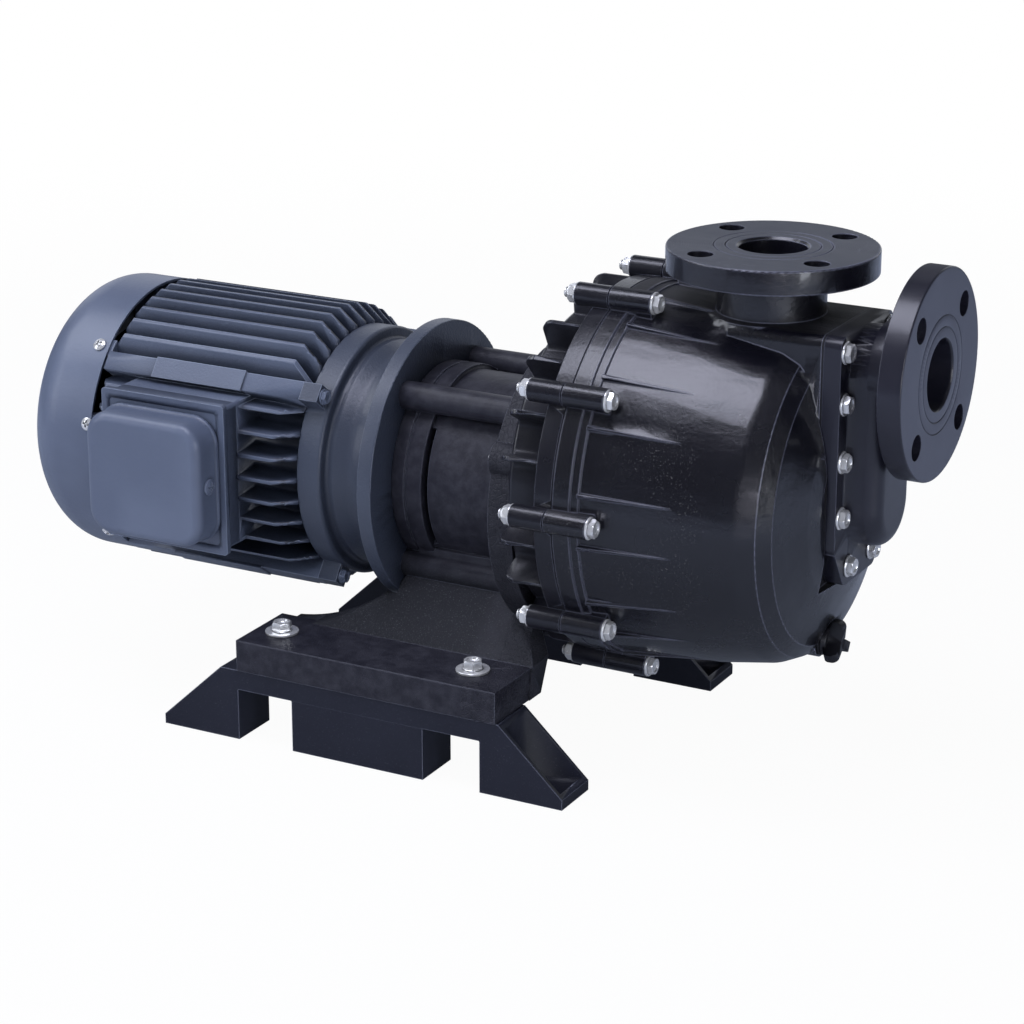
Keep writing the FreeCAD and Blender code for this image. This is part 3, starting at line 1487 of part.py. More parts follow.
def tank_casing():
    """Priming tank: clamp ring and bosses, creased nose, neck box and discharge flange."""
    x0 = front_joint_x()
    ring_end = x0 + clamp_ring_width
    crease = joint_x + tank_body_length
    mouth = tank_mouth_radius
    knee = crease - nose_knee
    swell = crease - nose_swell
    swell_radius = mouth - nose_swell_drop
    end = tank_face_x + 8
    shell = turned([(x0, 0), (x0, clamp_ring_radius, edge_break), (ring_end, clamp_ring_radius, edge_break),
                    (ring_end, clamp_step_radius), (ring_end + clamp_step_width, clamp_step_radius, edge_break),
                    (ring_end + clamp_step_width, mouth), (swell, swell_radius),
                    (knee, mouth - tank_taper, 20), (crease, nose_first_radius, nose_crease_rounding),
                    (crease + nose_first_step, nose_second_radius, nose_crease_rounding),
                    (crease + nose_first_step + nose_second_step, nose_third_radius, nose_crease_rounding),
                    (end - nose_rim_setback, nose_rim_radius, nose_rounding),
                    (end, nose_face_radius, nose_rounding / 2), (end, 0)],
                   tank_height)
    reach = plate_half_width
    top = tank_height + plate_top_rise
    right_wall = tank_face_x - tank_plate_thickness
    neck_box = along_x([(-reach, tank_height, 0), (-reach, top, plate_corner),
                        (reach, top, plate_corner), (reach, tank_height, 0)],
                       right_wall - neck_box_length, tank_face_x)
    plate = along_x(plate_outline(), right_wall, tank_face_x)
    neck_length = discharge_z - pipe_flange_thickness - top
    flange = pipe_flange(V(discharge_x, 0, discharge_z), V(0, 0, 1), neck_radius, neck_length + 20,
                         discharge_hole_turn)
    flare = turned_upright([(0, top - 10), (neck_radius + neck_flare, top - 10), (neck_radius + neck_flare, top),
                            (neck_radius, top + 1, 0), (neck_radius, top + neck_flare), (0, top + neck_flare)],
                           discharge_x)
    bosses = []
    for y, z in clamp_points():
        bosses.append(rod(x0, x0 + front_boss_length, clamp_boss_radius, y, z))
    ribs = []
    for angle in clamp_angles():
        for side in (-1, 1):
            ribs.append(tank_rib(angle + side * rib_offset))
        web = block(x0, x0 + front_boss_length, -clamp_boss_radius * 0.8, clamp_boss_radius * 0.8,
                    tank_height + mouth - tank_wall, tank_height + clamp_bolt_circle_radius)
        web.rotate(V(0, 0, tank_height), V(1, 0, 0), 90 - angle)
        bosses.append(web)
    boss_face = joint_x + drain_boss_reach
    drain_boss = rod(boss_face - drain_boss_length, boss_face, drain_boss_radius, 0, drain_z())
    trim = block(tank_face_x, end + embed, -reach - 1, reach + 1,
                 tank_height - plate_bottom_drop - 1, top)
    shell = shell.cut(trim)
    solid = shell.fuse([neck_box, plate, flange, flare, drain_boss] + bosses + ribs)
    t = tank_wall
    hollow = turned([(x0 - embed, 0), (x0 - embed, mouth - t), (swell, swell_radius - t),
                     (knee, mouth - tank_taper - t), (crease - 3, nose_first_radius - t),
                     (tank_face_x - tank_end_wall, nose_third_radius), (tank_face_x - tank_end_wall, 0)],
                    tank_height)
    cuts = [hollow, post(discharge_x, 0, tank_height, discharge_z + embed, pipe_bore_radius)]
    cuts.append(turned_upright([(0, discharge_z - bore_chamfer), (pipe_bore_radius, discharge_z - bore_chamfer),
                                (pipe_bore_radius + bore_chamfer, discharge_z + 0.01), (0, discharge_z + 0.01)],
                               discharge_x))
    cuts.append(rod(tank_face_x - 2 * tank_end_wall, tank_face_x + embed, pipe_bore_radius, 0, duct_top_z()))
    cuts.append(rod(boss_face - drain_boss_length - 4 * embed, boss_face + embed, drain_stem_radius + loose_fit, 0, drain_z()))
    cuts.append(rod(boss_face, tank_face_x - 1, drain_pocket_radius, 0, drain_z()))
    cuts += [rod(x0 - embed, x0 + front_boss_length + embed, clamp_bolt_size / 2 + loose_fit, y, z)
             for y, z in clamp_points()]
    cuts += [rod(tank_face_x - 10, tank_face_x + embed, suction_bolt_size / 2, y, z)
             for y, z in suction_bolt_points()]
    return solid.cut(cuts)


def suction_gasket():
    sheet = along_x(plate_outline(), tank_face_x, plate_back_x)
    holes = [rod(tank_face_x - embed, plate_back_x + embed, suction_bolt_size / 2 + loose_fit, y, z)
             for y, z in suction_bolt_points()]
    holes.append(chamber_prism(tank_face_x - embed, plate_back_x + embed, chamber_radius - chamber_wall))
    return sheet.cut(holes)


def chamber_prism(x0, x1, radius):
    """Upright slot shape with round ends, the form of the check valve chamber."""
    top = tank_height + chamber_top_rise
    bottom = tank_height + chamber_bottom_rise
    slot = block(x0, x1, -radius, radius, bottom, top)
    return slot.fuse([rod(x0, x1, radius, 0, top), rod(x0, x1, radius, 0, bottom)]).removeSplitter()


def suction_box():
    """Check valve chamber with its bolted plate and the suction flange."""
    plate = along_x(plate_outline(), plate_back_x, plate_front_x)
    body = chamber_prism(plate_back_x, chamber_end_x, chamber_radius)
    rim = [e for e in body.Edges if abs(e.BoundBox.XMin - chamber_end_x) < 0.01]
    body = body.makeFillet(chamber_edge_radius, rim)
    flange = pipe_flange(V(suction_face_x, 0, suction_z), V(1, 0, 0), suction_neck_radius,
                         suction_neck_length + chamber_edge_radius, 0)
    box = body.fuse([plate, flange])
    inner = chamber_radius - chamber_wall
    seat_x = chamber_end_x - seat_thickness
    cuts = [chamber_prism(plate_back_x - embed, seat_x, inner),
            rod(seat_x - embed, suction_flange_x, seat_radius, 0, suction_z),
            rod(chamber_end_x, suction_face_x + embed, pipe_bore_radius, 0, suction_z),
            turned([(suction_face_x - bore_chamfer, 0), (suction_face_x - bore_chamfer, pipe_bore_radius),
                    (suction_face_x + 0.01, pipe_bore_radius + bore_chamfer), (suction_face_x + 0.01, 0)],
                   suction_z)]
    cuts += [rod(plate_back_x - embed, plate_front_x + embed, suction_bolt_size / 2 + loose_fit, y, z)
             for y, z in suction_bolt_points()]
    return box.cut(cuts + [flap_pin()])


def suction_bolts():
    return [bolt_along_x(plate_front_x, tank_face_x - 9, suction_bolt_size, y, z)
            for y, z in suction_bolt_points()]


def flap_pin_place():
    """Centre (x, z) of the hinge pin of the flap."""
    seat_x = chamber_end_x - seat_thickness
    return seat_x - flap_pin_offset, suction_z + flap_radius - flap_pin_drop


def flap_pin():
    """Hinge pin across the chamber, held in both side walls."""
    x, z = flap_pin_place()
    rise = z - (tank_height + chamber_top_rise)
    inner = chamber_radius - chamber_wall
    half = math.sqrt(inner ** 2 - rise ** 2) + pin_grip
    return Part.makeCylinder(flap_pin_radius, 2 * half, V(x, -half, z), V(0, 1, 0))


def check_flap():
    """Swinging disc that hangs from the pin and closes the suction opening."""
    x, z = flap_pin_place()
    seat_x = chamber_end_x - seat_thickness - loose_fit
    disc = rod(seat_x - flap_thickness, seat_x, flap_radius, 0, suction_z)
    disc = disc.cut(block(seat_x - flap_thickness - embed, seat_x + embed, -flap_radius, flap_radius,
                          z, z + flap_radius))
    half = flap_eye_length / 2
    eye = Part.makeCylinder(flap_eye_radius, flap_eye_length, V(x, -half, z), V(0, 1, 0))
    arm = block(x, seat_x, -half, half, z - flap_eye_radius, z)
    washer = rod(seat_x - flap_thickness - 3, seat_x - flap_thickness, flap_radius * 0.6, 0, suction_z)
    flap = disc.fuse([eye, arm, washer])
    bore = Part.makeCylinder(flap_pin_radius + running_fit, flap_eye_length + 2 * embed,
                             V(x, -half - embed, z), V(0, 1, 0))
    return flap.cut(bore)


# Drain

def drain_z():
    return tank_height - drain_drop


def drain_face_x():
    return joint_x + drain_boss_reach + loose_fit


def drain_seal():
    x = drain_face_x()
    return turned([(x, drain_stem_radius), (x, drain_cap_radius, 0.6), (x + drain_seal_thickness, drain_cap_radius, 0.6),
                   (x + drain_seal_thickness, drain_stem_radius)], drain_z())


def drain_plug():
    """Screw plug with three rounded wings to turn it by hand."""
    x = drain_face_x() + drain_seal_thickness
    wing_x = x + drain_cap_length
    z = drain_z()
    body = turned([(x - drain_seal_thickness - drain_stem_length, 0),
                   (x - drain_seal_thickness - drain_stem_length, drain_stem_radius, 1), (x, drain_stem_radius),
                   (x, drain_cap_radius, 1), (wing_x, drain_cap_radius - 2, 2), (wing_x, 0)], z)
    corners = [(wing_x - 4, z), (wing_x - 3, z + drain_cap_radius - 3), (wing_x + 1, z + drain_wing_reach, 4),
               (wing_x + drain_wing_length, z + drain_wing_reach, 5), (wing_x + drain_wing_length - 1, z + 3, 2),
               (wing_x + drain_wing_length - 3, z)]
    wing = along_y(corners, -drain_wing_thickness / 2, drain_wing_thickness / 2)
    wings = []
    for i in range(drain_wing_count):
        wings.append(turn_x(wing, i * FULL_TURN / drain_wing_count, z))
    return body.fuse(wings)


def main():
    os.makedirs("parts", exist_ok=True)
    export("front_base_rail", base_rail(-1))
    export("rear_base_rail", base_rail(1))
    export("base_bolts", base_bolts())
    export("base_washers", base_washers())
    export("motor_bracket", motor_bracket())
    export("casing_screws", casing_screws())
    export("motor_flange_bolts", motor_flange_bolts())
    export("motor_end_shield", motor_end_shield())
    export("end_shield_bolts", end_shield_bolts())
    export("motor_frame", motor_frame())
    export("rear_end_shield", rear_end_shield())
    export("fan_cover", fan_cover())
    export("fan_cover_screws", fan_cover_screws())
    export("terminal_box_base", terminal_box_base())
    export("terminal_gasket", terminal_gasket())
    export("terminal_lid", terminal_lid())
    export("lid_screws", lid_screws())
    export("terminal_board", terminal_board())
    export("cable_entry_plug", cable_entry_plug())
    export("stator_core", stator_core())
    export("stator_windings", stator_windings())
    export("front_bearing", bearing_outer(front_bearing_x, front_bearing_width, front_bearing_radius))
    export("rear_bearing", bearing_outer(rear_bearing_x(), rear_bearing_width, rear_bearing_radius))
    export("bearing_inner_rings", bearing_inner_rings())
    export("motor_shaft", motor_shaft())
    export("shaft_key", drive_key())
    export("rotor_core", rotor_core())
    export("cooling_fan", cooling_fan())
    export("drive_magnet_hub", drive_magnet_hub())
    export("drive_magnets", drive_magnets())
    export("rear_casing", rear_casing())
    export("casing_gasket", casing_gasket())
    export("clamp_bolts", clamp_bolts())
    export("clamp_nuts", clamp_nuts())
    export("spindle", spindle())
    export("impeller_magnet", impeller_magnet())
    export("impeller_bush", impeller_bush())
    export("impeller", impeller())
    export("volute", volute())
    export("suction_duct", suction_duct())
    export("tank_casing", tank_casing())
    export("suction_gasket", suction_gasket())
    export("suction_box", suction_box())
    export("suction_bolts", suction_bolts())
    export("flap_pin", flap_pin())
    export("check_flap", check_flap())
    export("drain_seal", drain_seal())
    export("drain_plug", drain_plug())


main()
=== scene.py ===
"""Finish, fasteners, light and camera for a self-priming chemical transfer pump.

The rigid pieces come from the frame. Each one that shows gets smooth faces and a procedural finish,
and the fasteners are remade with chamfered heads, washers and threads. All lengths are in metres.
"""
import json
import math

import bmesh
import bpy
import numpy as np
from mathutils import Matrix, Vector

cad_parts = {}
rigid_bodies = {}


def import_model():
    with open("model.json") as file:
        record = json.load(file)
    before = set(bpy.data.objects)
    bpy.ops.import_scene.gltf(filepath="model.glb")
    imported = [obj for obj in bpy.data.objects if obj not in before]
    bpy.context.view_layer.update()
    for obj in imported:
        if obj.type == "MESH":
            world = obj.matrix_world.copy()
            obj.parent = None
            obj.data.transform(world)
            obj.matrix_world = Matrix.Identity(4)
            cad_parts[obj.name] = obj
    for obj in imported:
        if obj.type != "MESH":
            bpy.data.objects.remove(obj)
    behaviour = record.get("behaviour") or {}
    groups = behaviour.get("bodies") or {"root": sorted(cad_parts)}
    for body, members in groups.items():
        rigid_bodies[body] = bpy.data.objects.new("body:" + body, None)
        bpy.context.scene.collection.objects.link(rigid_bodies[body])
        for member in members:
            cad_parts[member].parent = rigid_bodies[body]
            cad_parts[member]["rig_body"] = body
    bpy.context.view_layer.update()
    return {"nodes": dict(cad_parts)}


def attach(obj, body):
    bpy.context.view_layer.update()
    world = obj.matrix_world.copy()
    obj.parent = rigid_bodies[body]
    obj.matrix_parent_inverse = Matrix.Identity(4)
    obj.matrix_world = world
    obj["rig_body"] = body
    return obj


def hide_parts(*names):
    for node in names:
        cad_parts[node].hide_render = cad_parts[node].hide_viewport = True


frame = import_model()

# Camera, fitted to the photograph
camera_place = (1.0920, -1.9396, 0.9214)
camera_turn = 28.2
camera_dip = 18.95
camera_lens = 105.47
sensor_width = 36.0

# Places of the object that the finishes need
shaft_height = 0.199
box_middle_x = -0.181
# Middle (x, z), half width, half height and corner radius of the box's mouth and of the lid's seat
box_mouth = ((-0.181, 0.201), 0.0521, 0.0561, 0.0005)
lid_seat = ((-0.1831, 0.201), 0.047, 0.044, 0.016)
box_rim_front = -0.1314
box_rim_back = -0.1295
ring_plate_x = 0.091
barrel_bottom = 0.122
foot_top = 0.083
discharge_centre = (0.265, 0.0, 0.403)
suction_centre = (0.396, 0.0, 0.324)

# Joining and shading of meshes
merge_distance = 1e-5
surface_merge_distance = 2e-6
crease_angle = 32.0
columns_round = 48
columns_cross = 72

# Measures of the bolts: size, height of the head and half its width across the flats
bolt_m8 = (0.008, 0.006, 0.0062)
bolt_m6 = (0.006, 0.0045, 0.00465)
thread_length = 0.013
thread_pitch = 0.00125
nut_apothem = 0.0065
nut_flange_radius = 0.0084
nut_flange_height = 0.0018
base_head_height = 0.007
base_apothem = 0.0068
base_flange_radius = 0.0078
base_flange_height = 0.0010
base_dish = 0.0014
base_shank_radius = 0.004
screw_radius = 0.0025
# Radius and height of the round heads
cover_screw_head = (0.0052, 0.003)
lid_screw_head = (0.0062, 0.0032)
rim_softness = 0.0003
rod_softness = 0.0004
recess_end = 0.0004
# Turn of each fastener from the one before, in radians
bolt_turn = 0.7
nut_turn = 0.5
base_turn = 0.6
screw_turn = 0.9

# Marks on the flange faces: where a face starts below its level, and radians of ring mark a metre
face_start = 0.0004
face_full = 0.0001
ring_marks = 5200.0

# Floor in reflections, painted shadow then painted light: radii in metres where one zone passes into the
# next
shaded_zone_end = (0.2, 0.55)
bright_ring_start = (0.75, 1.1)
bright_ring_end = (1.6, 2.4)
all_white_start = (0.8, 2.2)
# Share of pure white near the object for the camera, and of the zones for reflections
white_share = 0.96
zone_share = 0.85


class Quantity:
    """A number that changes over a surface; arithmetic on it adds Math nodes."""

    def __init__(self, finish, socket):
        self.finish = finish
        self.socket = socket

    def math(self, operation, first, second=0.0):
        """Result of an operation on one or two numbers."""
        node = self.finish.add("ShaderNodeMath", {"operation": operation}, {0: first, 1: second})
        return Quantity(self.finish, node.outputs[0])

    def __add__(self, other):
        return self.math("ADD", self, other)

    def __radd__(self, other):
        return self.math("ADD", other, self)

    def __sub__(self, other):
        return self.math("SUBTRACT", self, other)

    def __rsub__(self, other):
        return self.math("SUBTRACT", other, self)

    def __mul__(self, other):
        return self.math("MULTIPLY", self, other)

    def __rmul__(self, other):
        return self.math("MULTIPLY", other, self)

    def sine(self):
        """Sine of the number, in radians."""
        return self.math("SINE", self)

    def root(self):
        """Square root."""
        return self.math("SQRT", self)

    def size(self):
        """Number without its sign."""
        return self.math("ABSOLUTE", self)

    def above(self, low, high):
        """0 up to low, 1 from high on, with a soft step between."""
        node = self.finish.add("ShaderNodeMapRange", {"interpolation_type": "SMOOTHSTEP"},
                               {"Value": self, "From Min": low, "From Max": high})
        return Quantity(self.finish, node.outputs[0])


class Tree:
    """The nodes of a material or a world."""

    def __init__(self, owner):
        owner.use_nodes = True
        owner.node_tree.nodes.clear()
        self.nodes = owner.node_tree.nodes
        self.links = owner.node_tree.links

    def add(self, kind, settings=None, values=None):
        """New node of a kind: its settings first, then the values or links of its sockets."""
        node = self.nodes.new(kind)
        for key, value in (settings or {}).items():
            setattr(node, key, value)
        for key, value in (values or {}).items():
            self.feed(node.inputs[key], value)
        return node

    def feed(self, socket, value):
        """Links a quantity or an output to a socket, or sets the socket's own value."""
        if isinstance(value, Quantity):
            value = value.socket
        if isinstance(value, bpy.types.NodeSocket):
            self.links.new(value, socket)
        else:
            socket.default_value = value


class Finish(Tree):
    """A material being made: a principled shader and the nodes that feed it."""

    def __init__(self, name, **fixed):
        self.material = bpy.data.materials.new(name)
        super().__init__(self.material)
        self.shader = self.add("ShaderNodeBsdfPrincipled")
        self.output = self.add("ShaderNodeOutputMaterial", None, {"Surface": self.shader.outputs[0]})
        self.place = self.add("ShaderNodeTexCoord").outputs["Object"]
        for socket, value in fixed.items():
            self.shader.inputs[socket.replace("_", " ")].default_value = value

    def axes(self):
        """The three object coordinates as quantities."""
        node = self.add("ShaderNodeSeparateXYZ", None, {0: self.place})
        return [Quantity(self, node.outputs[i]) for i in range(3)]

    def stretched(self, stretch):
        """Object coordinates times a factor for each axis."""
        node = self.add("ShaderNodeMapping", {"vector_type": "POINT"},
                        {"Vector": self.place, "Scale": stretch})
        return node.outputs[0]

    def clouds(self, size, detail=2.0, rough=0.5, stretch=None):
        """Cloudy noise from 0 to 1 with lumps of a size in metres."""
        place = self.stretched(stretch) if stretch else self.place
        node = self.add("ShaderNodeTexNoise", None,
                        {"Vector": place, "Scale": 1.0 / size, "Detail": detail, "Roughness": rough})
        return Quantity(self, node.outputs[0])

    def cells(self, size, feature="F1"):
        """Distance to the nearest of many scattered points, a size in metres apart."""
        node = self.add("ShaderNodeTexVoronoi", {"feature": feature},
                        {"Vector": self.place, "Scale": 1.0 / size})
        return Quantity(self, node.outputs["Distance"])

    def cavity(self, reach):
        """Mask of the places that other surfaces within a reach in metres close in, such as fin gaps."""
        node = self.add("ShaderNodeAmbientOcclusion", {"samples": 6}, {"Distance": reach})
        return 1.0 - Quantity(self, node.outputs["AO"])

    def facing_up(self):
        """Mask of the level faces that look up, in the piece's own space."""
        normal = self.add("ShaderNodeTexCoord").outputs["Normal"]
        node = self.add("ShaderNodeSeparateXYZ", None, {0: normal})
        return Quantity(self, node.outputs[2]).above(0.93, 0.99)

    def edges(self, radius, low=0.02, high=0.25):
        """Edge mask: how far the normal of a rounded edge leans away from the flat one."""
        rounded = self.add("ShaderNodeBevel", {"samples": 4}, {"Radius": radius}).outputs[0]
        flat = self.add("ShaderNodeNewGeometry").outputs["Normal"]
        node = self.add("ShaderNodeVectorMath", {"operation": "DOT_PRODUCT"}, {0: rounded, 1: flat})
        lean = 1.0 - Quantity(self, node.outputs["Value"])
        return lean.above(low, high), rounded

    def scratches(self, size, stretch, amount):
        """Thin lines: narrow bands of a stretched noise, present only in some clouds."""
        lines = (self.clouds(size, 1.0, stretch=stretch) - 0.5).size()
        some = self.clouds(size * 4, 2.0).above(1.0 - amount, 1.02 - amount)
        return (1.0 - lines.above(0.0, 0.012)) * some

    def flange_face(self, along, level, across, up):
        """Mask of the flange face at a level, and ring marks: the sine of the distance from its middle."""
        out = (across * across + up * up).root()
        rings = (out * ring_marks).sine() * 0.5 + 0.5
        return along.above(level - face_start, level - face_full), rings

    def mix(self, share, first, second):
        """Colour between two colours, by a share from 0 to 1."""
        node = self.add("ShaderNodeMix", {"data_type": "RGBA"}, {0: share, 6: first, 7: second})
        return node.outputs[2]

    def bump(self, height, depth, normal=None):
        """Normal of a surface raised by height, from 0 to 1, times a depth in metres."""
        values = {"Height": height, "Distance": depth, "Strength": 1.0}
        if normal is not None:
            values["Normal"] = normal
        return self.add("ShaderNodeBump", None, values).outputs[0]

    def paint(self, colour=None, roughness=None, metallic=None, normal=None, coat=None):
        """Links what is given to the shader and hands back the finished material."""
        for name, value in (("Base Color", colour), ("Roughness", roughness), ("Metallic", metallic),
                            ("Normal", normal), ("Coat Weight", coat)):
            if value is not None:
                self.feed(self.shader.inputs[name], value)
        return self.material


def rgb(red, green, blue):
    """Opaque colour."""
    return (red, green, blue, 1.0)


# Finishes

def motor_paint(name, grain_size, grain_depth, gap_shade, strength=1.0):
    """Slate blue enamel: soft orange peel, cast grain below it, painted highlights on the edges.

    The gap share is how much painted shade darkens the colour between close walls; the strength scales
    its colour, painting lighter and darker copies of one enamel for parts in more and less light.
    """
    finish = Finish(name, Coat_Weight=0.35, Coat_Roughness=0.27, Specular_IOR_Level=0.5)
    edge_highlight, rounded = finish.edges(0.0012, 0.015, 0.18)
    clouds = finish.clouds(0.09, 3.0)
    dust = finish.clouds(0.0016, 3.0, 0.7).above(0.66, 0.74) * finish.clouds(0.05).above(0.45, 0.65)
    light = rgb(0.108 * strength, 0.131 * strength, 0.190 * strength)
    dark = rgb(0.088 * strength, 0.108 * strength, 0.162 * strength)
    tone = finish.mix(clouds.above(0.35, 0.7), dark, light)
    tone = finish.mix(dust * 0.25, tone, rgb(0.23, 0.25, 0.29))
    # Painted shade: darker colour where close walls hem the surface in, such as between the fins
    tone = finish.mix(finish.cavity(0.03).above(0.12, 0.55) * gap_shade, tone, rgb(0.008, 0.011, 0.020))
    # Painted highlight: lighter colour along the rounded edges
    tone = finish.mix(edge_highlight * 0.85, tone, rgb(0.30, 0.35, 0.46))
    grain = finish.clouds(grain_size, 3.0, 0.6)
    peel = finish.clouds(0.0035, 1.0)
    normal = finish.bump(grain, grain_depth, finish.bump(peel, 0.00012, rounded))
    return finish.paint(tone, 0.34 + 0.16 * grain, normal=normal)


def bracket_black():
    """Black moulded casting: mottled barrel, crackled ring plate, coarse speckled saddle."""
    finish = Finish("bracket_black", Specular_IOR_Level=0.4)
    x, _, z = finish.axes()
    edge_highlight, rounded = finish.edges(0.0013, 0.008, 0.12)
    saddle = 1.0 - z.above(barrel_bottom - 0.008, barrel_bottom + 0.03)
    foot = 1.0 - z.above(foot_top - 0.0004, foot_top + 0.0002)
    plate = x.above(ring_plate_x - 0.0005, ring_plate_x + 0.0005)
    heel = x.above(0.062, 0.078)
    rough_cast = saddle * (1.0 - foot) * (1.0 - 0.4 * heel) + 0.5 * plate * (1.0 - saddle)
    speck = finish.cells(0.0011)
    grit = finish.clouds(0.0008, 4.0, 0.7)
    mottle = finish.clouds(0.011, 4.0, 0.65)
    crackle = finish.cells(0.0042, "DISTANCE_TO_EDGE").above(0.0, 0.12)
    dots = finish.clouds(0.0009, 1.0).above(0.63, 0.7) * rough_cast
    tone = finish.mix(mottle.above(0.3, 0.8), rgb(0.016, 0.016, 0.024), rgb(0.038, 0.038, 0.050))
    tone = finish.mix(rough_cast * 0.85, tone, rgb(0.013, 0.014, 0.018))
    # Painted shade where other surfaces close in
    tone = finish.mix(finish.cavity(0.03).above(0.3, 0.8) * 0.4, tone, rgb(0.003, 0.003, 0.005))
    tone = finish.mix(dots * 0.6, tone, rgb(0.085, 0.088, 0.095))
    # Painted highlight along the rounded edges
    tone = finish.mix(edge_highlight * 0.7, tone, rgb(0.13, 0.14, 0.18))
    rough = 0.34 + 0.22 * mottle + 0.26 * rough_cast
    height = grit * (0.12 + 0.88 * rough_cast) + crackle * plate * 0.8 + speck * saddle * 0.5
    normal = finish.bump(height, 0.00032, finish.bump(mottle, 0.0006, rounded))
    return finish.paint(tone, rough, normal=normal)


def rail_black():
    """Satin black moulding with fine grain, faint specks of dust and painted highlights on the edges."""
    finish = Finish("rail_black", Specular_IOR_Level=0.4)
    edge_highlight, rounded = finish.edges(0.0013, 0.008, 0.12)
    specks = finish.clouds(0.0011, 2.0, 0.6).above(0.64, 0.70)
    clouds = finish.clouds(0.05, 3.0)
    tone = finish.mix(clouds, rgb(0.012, 0.013, 0.022), rgb(0.019, 0.021, 0.034))
    tone = finish.mix(specks * 0.3, tone, rgb(0.12, 0.125, 0.15))
    # Painted highlight along the rounded edges
    tone = finish.mix(edge_highlight * 0.85, tone, rgb(0.20, 0.215, 0.28))
    grain = finish.clouds(0.0009, 3.0, 0.6)
    normal = finish.bump(grain, 0.00009, rounded)
    return finish.paint(tone, 0.34 + 0.16 * clouds, normal=normal)


def tank_black():
    """Glossy black moulding with flow waves, orange peel, dust specks and a matt flange face.

    Closed-in places, level faces and seams are rougher; painted highlights lie along the edges,
    brighter on the folds of the nose.
    """
    finish = Finish("tank_black", Coat_Weight=0.5, Coat_Roughness=0.07, Specular_IOR_Level=0.7)
    x, y, z = finish.axes()
    edge_highlight, rounded = finish.edges(0.0014, 0.0012, 0.018)
    face, rings = finish.flange_face(z, discharge_centre[2], x - discharge_centre[0], y)
    marks = finish.scratches(0.009, (1.0, 0.25, 1.0), 0.42) * face
    waves = finish.clouds(0.02, 2.0, stretch=(0.3, 1.0, 1.0))
    peel = finish.clouds(0.0028, 2.0)
    fine = finish.clouds(0.0008, 3.0, 0.6)
    dirty = finish.clouds(0.07, 3.0).above(0.42, 0.66)
    below_neck = 1.0 - z.above(0.29, 0.33)
    specks = finish.clouds(0.0013, 2.0, 0.7).above(0.62, 0.69) * dirty * below_neck
    tone = finish.mix(finish.clouds(0.06, 2.0), rgb(0.003, 0.003, 0.006), rgb(0.006, 0.006, 0.011))
    tone = finish.mix(face * 0.9, tone, rgb(0.034, 0.040, 0.058))
    tone = finish.mix(marks * 0.5, tone, rgb(0.18, 0.19, 0.23))
    tone = finish.mix(specks * 0.4, tone, rgb(0.17, 0.165, 0.16))
    nose = x.above(0.26, 0.28)
    # Painted highlight along the rounded edges, stronger on the folds of the nose
    tone = finish.mix(edge_highlight * (0.35 + 0.35 * nose), tone, rgb(0.22, 0.23, 0.31))
    closed = finish.cavity(0.05).above(0.45, 0.8)
    level = finish.facing_up() * (1.0 - face)
    seam = finish.cavity(0.010).above(0.35, 0.7)
    rough = 0.20 + 0.12 * finish.clouds(0.03, 3.0) + 0.25 * face
    rough = rough + 0.3 * closed + 0.35 * level + 0.4 * seam
    height = (peel * 0.5 + fine * 0.35) * (1.0 - face) + (fine * 0.4 + rings * 0.35) * face
    normal = finish.bump(height, 0.00040, finish.bump(waves, 0.0010, rounded))
    return finish.paint(tone, rough, normal=normal, coat=0.5 - 0.45 * face - 0.5 * closed - 0.5 * level)


def casing_black():
    """Satin black moulding of the rear casing, a little rougher than the tank."""
    finish = Finish("casing_black", Coat_Weight=0.4, Coat_Roughness=0.10, Specular_IOR_Level=0.6)
    edge_highlight, rounded = finish.edges(0.0010, 0.01, 0.15)
    clouds = finish.clouds(0.02, 3.0)
    tone = finish.mix(clouds, rgb(0.004, 0.004, 0.008), rgb(0.009, 0.009, 0.015))
    # Painted highlight along the rounded edges
    tone = finish.mix(edge_highlight * 0.7, tone, rgb(0.15, 0.16, 0.215))
    peel = finish.clouds(0.0022, 3.0, 0.6)
    normal = finish.bump(peel, 0.00022, rounded)
    closed = finish.cavity(0.05).above(0.25, 0.55)
    return finish.paint(tone, 0.22 + 0.14 * clouds + 0.6 * closed, normal=normal,
                        coat=0.4 - 0.4 * closed)


def suction_black():
    """Satin black moulding with an even fine texture; the flange face is matt with ring marks."""
    finish = Finish("suction_black", Coat_Weight=0.3, Coat_Roughness=0.14, Specular_IOR_Level=0.6)
    x, y, z = finish.axes()
    edge_highlight, rounded = finish.edges(0.0011, 0.01, 0.15)
    face, rings = finish.flange_face(x, suction_centre[0], z - suction_centre[2], y)
    clouds = finish.clouds(0.03, 3.0)
    tone = finish.mix(clouds, rgb(0.010, 0.010, 0.018), rgb(0.017, 0.017, 0.028))
    tone = finish.mix(face * 0.9, tone, rgb(0.085, 0.092, 0.130))
    # Painted highlight along the rounded edges
    tone = finish.mix(edge_highlight * 0.7, tone, rgb(0.15, 0.16, 0.22))
    fine = finish.clouds(0.0009, 3.0, 0.6)
    height = fine * 0.8 + rings * 0.35 * face
    normal = finish.bump(height, 0.00011, rounded)
    level = finish.facing_up()
    return finish.paint(tone, 0.26 + 0.12 * clouds + 0.15 * face + 0.35 * level, normal=normal,
                        coat=0.3 - 0.3 * level)


def plain_black(name, roughness):
    """Small black plastic or rubber part with a fine grain."""
    finish = Finish(name)
    grain = finish.clouds(0.0012, 3.0, 0.6)
    tone = finish.mix(grain, rgb(0.008, 0.008, 0.011), rgb(0.016, 0.016, 0.021))
    return finish.paint(tone, roughness + 0.15 * grain, normal=finish.bump(grain, 0.00008))


